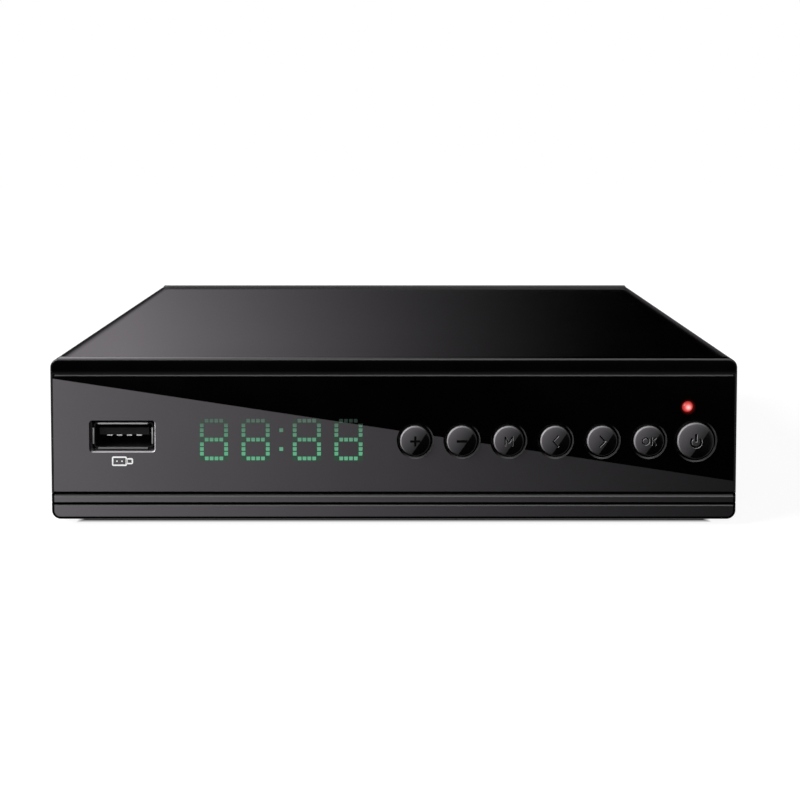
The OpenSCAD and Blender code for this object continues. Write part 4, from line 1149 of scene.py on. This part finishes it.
@dataclass
class Studio:
    """Pale floor, white surroundings, soft lights, and cards that only reflections show."""

    floor_size: float = 24.0
    floor_glow: float = 0.91
    floor_tone: float = 0.14
    floor_near: float = 0.35
    floor_far: float = 1.3
    glow_share: float = 0.5
    # painted shadow under the case, from its outline inwards
    shadow_from: float = 2.1 * MM
    shadow_to: float = 3.6 * MM
    shadow_side: float = 2.4 * MM
    ambient: float = 0.22
    key: SoftLight = SoftLight("key_light", (-0.81, -0.22, 0.52), 0.9, 0.5, 18.0, mirrored=True)
    fill: SoftLight = SoftLight("fill_light", (0.1, -0.9, 0.42), 0.7, 0.4, 1.9, mirrored=False)
    card_distance: float = 3.0
    card_half_width: float = 7.0
    card_height: float = 6.0
    eye_distance: float = 0.254
    card_left: float = -0.29
    card_right: float = 0.281
    card_grey: float = 118 / 255
    card_low: float = 0.5
    card_high: float = 0.8
    card_gain_low: float = 1.66
    card_gain_high: float = 3.46
    card_foot_from: float = 0.05
    card_foot_to: float = 0.42
    card_foot_left: float = 0.12
    card_foot_grey: float = 0.33
    front_flag: Flag = Flag("front_flag", front=-0.24, rear=-0.0524, front_half_width=0.17,
                            rear_half_width=0.08)
    rear_flag: Flag = Flag("rear_flag", front=0.22, rear=2.98, front_half_width=1.6, rear_half_width=1.6,
                           left_glow=0.1, right_glow=0.15)

    def build_world(self) -> None:
        """Surroundings that look white and give a soft even light."""
        world = bpy.data.worlds.new("white_studio")
        world.use_nodes = True
        graph = Graph(world.node_tree)
        background = world.node_tree.nodes["Background"]
        graph.feed(background.inputs["Color"], WHITE)
        graph.feed(background.inputs["Strength"], graph.span(seen(graph), 0, 1, self.ambient, 1.0))
        bpy.context.scene.world = world

    def floor_shine(self, graph: Graph, across: Socket, depth: Socket, near: Socket) -> Socket:
        """How white the floor looks by itself, and a painted shadow below the case.

        Args:
            graph: the floor's nodes.
            across: place across.
            depth: place in depth.
            near: 1 near the object and 0 far off.

        Returns:
            The strength of its glow.
        """
        low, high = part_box("front_bezel")[0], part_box("chassis_tray")[1]
        beside = graph.minus(high.x - self.shadow_side, graph.math("ABSOLUTE", across))
        inset = graph.least(beside, graph.least(graph.minus(depth, low.y), graph.minus(high.y, depth)))
        return graph.times(graph.span(near, self.glow_share, 1, 1.0, self.floor_glow),
                           graph.fall(inset, self.shadow_from, self.shadow_to))

    def build_floor(self) -> None:
        """A pale floor that keeps the object's shadow near it, with a painted shadow under it, and turns
        white further off.
        """
        bpy.ops.mesh.primitive_plane_add(size=self.floor_size)
        floor = bpy.context.object
        floor.name = "studio_floor"
        made, graph, glow = emitter("floor_white")
        across, depth, _ = graph.split(graph.place())
        near = graph.fall(graph.reach(across, depth), self.floor_near, self.floor_far)
        matte = graph.add("BsdfDiffuse", Color=graph.times(near, self.floor_tone))
        shine = self.floor_shine(graph, across, depth, near)
        graph.feed(glow.inputs["Strength"], graph.times(seen(graph), shine))
        both = graph.add("AddShader")
        for socket, shader in zip(both.inputs, (matte, glow)):
            graph.feed(socket, shader.outputs[0])
        graph.feed(made.node_tree.nodes["Material Output"].inputs["Surface"], both.outputs[0])
        floor.data.materials.append(made)

    def build_back_card(self) -> None:
        """A tall card behind the object that fades from left to right in the cover's gloss."""
        bpy.ops.mesh.primitive_plane_add(size=1, location=(0, self.card_distance, self.card_height / 2),
                                         rotation=(math.pi / 2, 0, 0))
        card = bpy.context.object
        card.name = "back_card"
        card.scale = (2 * self.card_half_width, self.card_height, 1)
        settle(card)
        made, graph, glow = emitter("back_card_fade")
        across, _, height = graph.split(graph.place())
        side = graph.math("DIVIDE", across, self.card_distance + self.eye_distance)
        fade = graph.span(side, self.card_left, self.card_right, self.card_grey, 0.0)
        foot = graph.span(side, self.card_foot_left, self.card_right, 0.0, self.card_foot_grey)
        grey = graph.span(height, self.card_foot_from, self.card_foot_to, foot, fade)
        gain = graph.span(height, self.card_low, self.card_high, self.card_gain_low, self.card_gain_high)
        graph.feed(glow.inputs["Strength"], graph.times(graph.math("POWER", grey, SCREEN_GAMMA), gain))
        graph.feed(glow.inputs["Color"], GREY_CAST)
        card.data.materials.append(made)
        reflect_only(card)

    def build(self) -> None:
        """Builds the whole studio."""
        bpy.context.scene.view_settings.view_transform = "Standard"
        self.build_world()
        self.build_floor()
        self.key.build()
        self.fill.build()
        self.build_back_card()
        self.front_flag.build()
        self.rear_flag.build()


@dataclass
class CaseShell:
    """Steel cover and tray with feet and screws."""

    paint: CasePaint = CasePaint("satin_case_paint", (0.0003, 0.0003, 0.0003), 0.13)
    rubber: Moulding = Moulding("foot_rubber_black", (0.022, 0.022, 0.023), 0.75, grain_size=0.4 * MM,
                                grain_depth=0.01 * MM)

    def build(self) -> None:
        """Dresses the shell."""
        self.paint.dress("chassis_tray", "top_cover")
        self.rubber.dress("rubber_feet")
        DARK_ZINC.dress("cover_screws", "bezel_screws", "front_board_screws", "board_screws")


@dataclass
class PortMark:
    """Printed pictogram of a memory stick: a hollow body, a hollow plug and two contact dots."""

    centre_x: float = -59.2 * MM
    centre_z: float = 14.45 * MM
    body_w: float = 3.3 * MM
    body_h: float = 2.1 * MM
    plug_w: float = 1.5 * MM
    plug_h: float = 1.35 * MM
    line: float = 0.32 * MM
    corner: float = 0.35 * MM
    corner_steps: int = 5
    dot: float = 0.3 * MM
    dot_corner: float = 0.1 * MM
    dot_steps: int = 3
    dot_from_middle: float = 0.55 * MM
    film: float = 0.03 * MM
    ink: Moulding = Moulding("mark_white_ink", (0.86, 0.86, 0.86), 0.6, grain_size=0.15 * MM,
                             grain_depth=0.001 * MM, spread=0.03, specular=0.3, dust_amount=0.0)

    def block(self, x: float, z: float, w: float, h: float) -> bpy.types.Object:
        """A thin block that stands on the fascia.

        Args:
            x: its middle across.
            z: its middle's height.
            w: its width.
            h: its height.

        Returns:
            The block, with its place in its mesh.
        """
        face = front_of("fascia_panel")
        bpy.ops.mesh.primitive_cube_add(size=1, location=(x, face - self.film / 2, z))
        block = bpy.context.object
        block.scale = (w, self.film, h)
        settle(block)
        return block

    def frame_block(self, x: float, z: float, w: float, h: float) -> bpy.types.Object:
        """A thin block with round corners and a window through it."""
        block = self.block(x, z, w, h)
        edit(block)
        pick_edges(block, runs_deep)
        bpy.ops.mesh.bevel(offset=self.corner, segments=self.corner_steps, affect="EDGES")
        pick_faces(block, lambda middle, normal: abs(normal.y) > SQUARE_ON)
        bpy.ops.mesh.inset(thickness=self.line, use_individual=True)
        bpy.ops.mesh.bridge_edge_loops()
        leave()
        return block

    def build(self) -> None:
        """Models the mark's four parts and joins them."""
        body_x = self.centre_x - self.plug_w / 2
        plug_x = body_x + (self.body_w + self.plug_w - self.line) / 2
        parts = [self.frame_block(body_x, self.centre_z, self.body_w, self.body_h),
                 self.frame_block(plug_x, self.centre_z, self.plug_w, self.plug_h)]
        for side in (-1, 1):
            dot_x = body_x + side * self.dot_from_middle
            dot = self.block(dot_x, self.centre_z, self.dot, self.dot)
            edit(dot)
            pick_edges(dot, runs_deep)
            bpy.ops.mesh.bevel(offset=self.dot_corner, segments=self.dot_steps, affect="EDGES")
            leave()
            parts.append(dot)
        activate(parts[0])
        for part in parts:
            part.select_set(True)
        bpy.ops.object.join()
        mark = bpy.context.object
        mark.data.materials.append(self.ink.material())
        make_piece(mark, "port_mark", CASE_BODY)


@dataclass
class FrontPanel:
    """Bezel, fascia and the mark below the memory port."""

    moulding: BezelMoulding = BezelMoulding("bezel_moulding", (0.0004, 0.0004, 0.0004), 0.17)
    fascia_finish: FasciaPaintedLight = FasciaPaintedLight("fascia_painted_light", (0.0004, 0.0004, 0.0004), 0.13)
    mark: PortMark = field(default_factory=PortMark)

    def build(self) -> None:
        """Dresses the panel and prints its mark."""
        self.moulding.dress("front_bezel")
        self.fascia_finish.dress("fascia_panel")
        self.mark.build()


@dataclass
class Indicators:
    """Display, standby lamp and infrared receiver."""

    glow: CellGlow = CellGlow("cell_glow", (0.008, 0.02, 0.013), 0.34)
    lens: LampLens = LampLens("lamp_lens", (0.82, 0.085, 0.075), 0.225)
    resin: Moulding = Moulding("potted_resin", (0.6, 0.57, 0.5), 0.55)
    window: Moulding = Moulding("receiver_window", (0.02, 0.008, 0.012), 0.18, grain_depth=0.001 * MM)

    def build(self) -> None:
        """Dresses the indicators."""
        self.glow.dress("display_light_guide")
        self.lens.dress("standby_lamp")
        self.resin.dress("display_module")
        self.window.dress("ir_receiver")


class Legend(Enum):
    """The sign on each cap, from the left."""

    PLUS = "plus"
    MINUS = "minus"
    MENU = "menu"
    LEFT = "left"
    RIGHT = "right"
    OK = "ok"
    POWER = "power"


@dataclass(frozen=True)
class Stroke:
    """One straight stroke of a legend, in millimetres from the cap's middle."""

    length: float
    width: float
    turn: float = 0.0
    x: float = 0.0
    z: float = 0.0


@dataclass(frozen=True)
class Ring:
    """One ring of a legend, open at the top, in millimetres and degrees from the cap's middle."""

    radius: float
    width: float
    gap: float = 0.0
    x: float = 0.0
    z: float = 0.0


@dataclass
class Engraver:
    """Cuts legends into caps with tools whose walls slope."""

    depth: float = 0.16 * MM
    slope: float = 0.08 * MM
    clear: float = 0.3 * MM
    ring_steps: int = 48
    merge: float = 0.002 * MM
    section_sides: int = 4
    ink: Moulding = Moulding("legend_ink", (0.0015, 0.0015, 0.0015), 0.8, grain_size=0.12 * MM,
                             grain_depth=0.002 * MM, specular=0.04, dust_amount=0.0)
    gloss: Finish = CAP_GLOSS
    inked: ClassVar[Tuple[Legend, ...]] = (Legend.PLUS, Legend.MINUS)
    strokes: ClassVar[Dict[Legend, List[Stroke]]] = {
        Legend.PLUS: [Stroke(2.1, 0.34), Stroke(2.1, 0.34, 90)],
        Legend.MINUS: [Stroke(2.2, 0.42)],
        Legend.MENU: [Stroke(2.0, 0.2, 90, -0.78), Stroke(2.0, 0.2, 90, 0.78),
                      Stroke(1.5, 0.2, -60, -0.4, 0.35), Stroke(1.5, 0.2, 60, 0.4, 0.35)],
        Legend.LEFT: [Stroke(1.7, 0.22, 48, 0.0, 0.6), Stroke(1.7, 0.22, -48, 0.0, -0.6)],
        Legend.RIGHT: [Stroke(1.7, 0.22, -48, 0.0, 0.6), Stroke(1.7, 0.22, 48, 0.0, -0.6)],
        Legend.OK: [Stroke(1.7, 0.22, 90, 0.5), Stroke(1.25, 0.22, 48, 1.0, 0.36),
                    Stroke(1.2, 0.22, -55, 1.15, -0.36)],
        Legend.POWER: [Stroke(1.7, 0.4, 90, 0.0, 0.72)],
    }
    rings: ClassVar[Dict[Legend, Ring]] = {
        Legend.OK: Ring(0.72, 0.22, 0.0, -0.78),
        Legend.POWER: Ring(1.12, 0.4, 86.0, 0.0, -0.2),
    }

    def flare_width(self) -> float:
        """How much wider a tool is at its front end than at the foot of the cut."""
        return 2 * self.slope * (self.depth + self.clear) / self.depth

    def flare(self, tool: bpy.types.Object, across: float, up: float) -> None:
        """Widens a tool's front face so that its walls slope at the cap's face.

        Args:
            tool: the cutting tool, about the origin.
            across: its width at the foot of the cut.
            up: its height at the foot of the cut.
        """
        more = self.flare_width()
        edit(tool)
        pick_faces(tool, faces_front)
        bpy.ops.transform.resize(value=((across + more) / across, 1, (up + more) / up),
                                 center_override=(0, 0, 0))
        leave()

    def bar_tool(self, stroke: Stroke, at: Vector) -> bpy.types.Object:
        """A tool for one straight stroke.

        Args:
            stroke: the stroke.
            at: the middle of the cap's face.

        Returns:
            The tool in its place.
        """
        length, width = stroke.length * MM, stroke.width * MM
        bpy.ops.mesh.primitive_cube_add(size=1, location=(0, (self.depth - self.clear) / 2, 0))
        tool = bpy.context.object
        tool.scale = (length, self.depth + self.clear, width)
        settle(tool)
        self.flare(tool, length, width)
        tool.rotation_euler = (0, -math.radians(stroke.turn), 0)
        tool.location = at + Vector((stroke.x, 0, stroke.z)) * MM
        settle(tool)
        return tool

    def ring_tool(self, ring: Ring, at: Vector) -> bpy.types.Object:
        """A tool for a ring or an arc, spun from a sloping section.

        Args:
            ring: the ring.
            at: the middle of the cap's face.

        Returns:
            The tool in its place.
        """
        width = ring.width * MM
        more = self.flare_width()
        bpy.ops.mesh.primitive_plane_add(size=1, location=(0, (self.depth - self.clear) / 2, 0))
        tool = bpy.context.object
        tool.scale = (width, self.depth + self.clear, 1)
        settle(tool)
        edit(tool)
        pick_edges(tool, lambda middle, way: middle.y < 0 and abs(way.x) > SQUARE_ON)
        bpy.ops.transform.resize(value=((width + more) / width, 1, 1), center_override=(0, 0, 0))
        leave()
        tool.location.x = ring.radius * MM
        settle(tool)
        tool.rotation_euler = (0, -math.radians(90 + ring.gap / 2), 0)
        settle(tool)
        edit(tool)
        bpy.ops.mesh.select_all(action="SELECT")
        bpy.ops.mesh.delete(type="ONLY_FACE")
        bpy.ops.mesh.select_all(action="SELECT")
        bpy.ops.mesh.spin(steps=self.ring_steps, angle=math.radians(360 - ring.gap), center=(0, 0, 0),
                          axis=(0, 1, 0))
        bpy.ops.mesh.select_all(action="SELECT")
        bpy.ops.mesh.remove_doubles(threshold=self.merge)
        bpy.ops.mesh.fill_holes(sides=self.section_sides)
        bpy.ops.mesh.normals_make_consistent(inside=False)
        leave()
        tool.location = at + Vector((ring.x, 0, ring.z)) * MM
        settle(tool)
        return tool

    def tools(self, legend: Legend, at: Vector) -> List[bpy.types.Object]:
        """The tools that cut one legend."""
        made = [self.bar_tool(stroke, at) for stroke in self.strokes[legend]]
        if legend in self.rings:
            made.append(self.ring_tool(self.rings[legend], at))
        return made

    def engrave(self, cap: bpy.types.Object, legend: Legend, at: Vector) -> None:
        """Cuts a legend into a cap, with ink on the cut's floor and, in an inked legend, on its walls.

        Args:
            cap: the cap.
            legend: the sign to cut.
            at: the middle of the cap's face.
        """
        for tool in self.tools(legend, at):
            for finish in (self.gloss, self.ink):
                tool.data.materials.append(finish.material())
            for face in tool.data.polygons:
                deep = legend in self.inked or faces_rear(face.center, face.normal)
                face.material_index = 1 if deep else 0
            finish_modifier(cap, "BOOLEAN", object=tool, operation="DIFFERENCE", solver="EXACT",
                            material_mode="TRANSFER")
            bpy.data.objects.remove(tool)


@dataclass
class ButtonRow:
    """Seven caps with their legends, and the switches behind them."""

    gap: float = 0.45 * MM
    keeper_w: float = 0.45 * MM
    keeper_t: float = 0.8 * MM
    keeper_y: float = 3.3 * MM
    stem_r: float = 1.5 * MM
    bevel: float = 0.26 * MM
    crown: float = 0.15 * MM
    crown_rings: int = 5
    sides: int = 96
    soften: float = 0.05 * MM
    soften_steps: int = 2
    soften_angle: float = math.radians(25)
    gloss: Finish = CAP_GLOSS
    engraver: Engraver = field(default_factory=Engraver)

    def crown_height(self, share: float) -> float:
        """How far the crowned face lies behind its top, at a share of its radius."""
        return self.crown * share * share

    def blank(self, node: str) -> bpy.types.Object:
        """Models a cap without a legend about the Y axis, at its own depth.

        Args:
            node: the solid that it stands for.

        Returns:
            The blank.
        """
        low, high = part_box(node)
        keeper_r = (high.x - low.x) / 2
        radius = keeper_r - self.gap - self.keeper_w
        rim_y = low.y + self.crown + self.bevel
        keeper_y = front_of("fascia_panel") + self.keeper_y
        bpy.ops.mesh.primitive_cylinder_add(
            vertices=self.sides, radius=radius, depth=keeper_y - rim_y,
            location=(0, (rim_y + keeper_y) / 2, 0), rotation=(math.pi / 2, 0, 0))
        cap = bpy.context.object
        settle(cap)
        edit(cap)
        pick_faces(cap, faces_front)
        bpy.ops.mesh.inset(thickness=self.bevel, depth=self.bevel)
        for ring in range(self.crown_rings - 1):
            outer = 1 - ring / self.crown_rings
            inner = 1 - (ring + 1) / self.crown_rings
            bpy.ops.mesh.inset(thickness=(radius - self.bevel) / self.crown_rings,
                               depth=self.crown_height(outer) - self.crown_height(inner))
        pick_faces(cap, faces_rear)
        self.step_out(keeper_r / radius)
        bpy.ops.mesh.extrude_region_move(TRANSFORM_OT_translate={"value": (0, self.keeper_t, 0)})
        self.step_out(self.stem_r / keeper_r)
        bpy.ops.mesh.extrude_region_move(
            TRANSFORM_OT_translate={"value": (0, high.y - keeper_y - self.keeper_t, 0)})
        leave()
        finish_modifier(cap, "BEVEL", width=self.soften, segments=self.soften_steps, limit_method="ANGLE",
                        angle_limit=self.soften_angle)
        return cap

    def step_out(self, share: float) -> None:
        """Extrudes the picked face in place and changes its radius by a share."""
        bpy.ops.mesh.extrude_region_move(TRANSFORM_OT_translate={"value": (0, 0, 0)})
        bpy.ops.transform.resize(value=(share, 1, share), center_override=(0, 0, 0))

    def fit_cap(self, blank: bpy.types.Object, legend: Legend) -> None:
        """Puts a copy of a blank in its place, cuts its legend and lets it ride on its key.

        Args:
            blank: the cap without a legend.
            legend: its sign.
        """
        node = "button_" + legend.value
        across, height = spot(node)
        cap = blank.copy()
        cap.data = blank.data.copy()
        bpy.context.scene.collection.objects.link(cap)
        cap.location = (across, 0, height)
        settle(cap)
        cap.data.materials.append(self.gloss.material())
        self.engraver.engrave(cap, legend, Vector((across, front_of(node), height)))
        smooth(cap)
        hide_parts(node)
        make_piece(cap, "cap_" + legend.value, legend.value + "_key")

    def build(self) -> None:
        """Models both sizes of cap once, copies them along the row and dresses the switches."""
        small = self.blank("button_plus")
        large = self.blank("button_power")
        for legend in Legend:
            self.fit_cap(large if legend is Legend.POWER else small, legend)
            BLACK_MOULDING.dress("plunger_" + legend.value)
        for blank in (small, large):
            bpy.data.objects.remove(blank)
        BLACK_MOULDING.dress("switch_bodies")
        BRIGHT_TIN.dress("switch_plates")


@dataclass
class MemoryPort:
    """Memory stick port in the front."""

    # the shell's dark colour is painted shade inside the port
    shell: Plating = PortShellPlating("port_shell_tin", (0.05, 0.05, 0.051), 0.46)
    tongue: Moulding = Moulding("port_tongue_black", (0.005, 0.005, 0.005), 0.5, specular=0.25,
                                dust_amount=0.0)
    contacts: Plating = Plating("port_contact_tin", (0.75, 0.75, 0.76), 0.46, metallic=0.3)

    def build(self) -> None:
        """Dresses the port."""
        self.shell.dress("port_shell")
        self.tongue.dress("port_tongue")
        self.contacts.dress("port_contacts")


@dataclass
class Electronics:
    """Boards and what they carry."""

    mask: BoardMask = BoardMask("board_mask", (0.014, 0.085, 0.036), 0.35)
    aluminium: Plating = Plating("sink_aluminium", (0.75, 0.76, 0.77), 0.4, grain_size=0.2 * MM)
    sleeve: Moulding = Moulding("capacitor_sleeve", (0.012, 0.018, 0.05), 0.28, grain_depth=0.001 * MM)
    ferrite: Moulding = Moulding("coil_ferrite", (0.05, 0.05, 0.052), 0.7, grain_depth=0.01 * MM)

    def build(self) -> None:
        """Dresses the boards and their parts."""
        self.mask.dress("front_board", "main_board")
        self.aluminium.dress("heat_sink")
        self.sleeve.dress("capacitors")
        self.ferrite.dress("power_coils")
        BLACK_MOULDING.dress("processor", "memory_chips", "flash_chip", "link_header")
        BRIGHT_TIN.dress("crystal", "tuner_can")
        GOLD_FLASH.dress("link_pins")


@dataclass
class RearSockets:
    """Sockets in the rear wall."""

    white: Moulding = Moulding("socket_white", (0.8, 0.8, 0.77), 0.35, spread=0.04)
    yellow: Moulding = Moulding("socket_yellow", (0.8, 0.56, 0.03), 0.35, spread=0.05)
    red: Moulding = Moulding("socket_red", (0.55, 0.02, 0.018), 0.35, spread=0.05)

    def build(self) -> None:
        """Dresses the sockets."""
        BRIGHT_TIN.dress("antenna_in_sleeve", "antenna_out_sleeve", "av_sleeves", "video_shell", "inlet_pin")
        GOLD_FLASH.dress("antenna_contacts")
        BLACK_MOULDING.dress("video_tongue", "av_block", "inlet_body")
        self.white.dress("antenna_bushes", "av_insert_white")
        self.yellow.dress("av_insert_yellow")
        self.red.dress("av_insert_red")


def main() -> None:
    """Builds the camera, the studio and every sub-assembly."""
    logging.basicConfig(level=logging.INFO, format="%(name)s: %(message)s")
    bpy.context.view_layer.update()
    for assembly in (Viewpoint(), Studio(), CaseShell(), FrontPanel(), Indicators(), ButtonRow(),
                     MemoryPort(), Electronics(), RearSockets()):
        assembly.build()
        log.info("built %s", type(assembly).__name__)


if __name__ == "__main__":
    main()
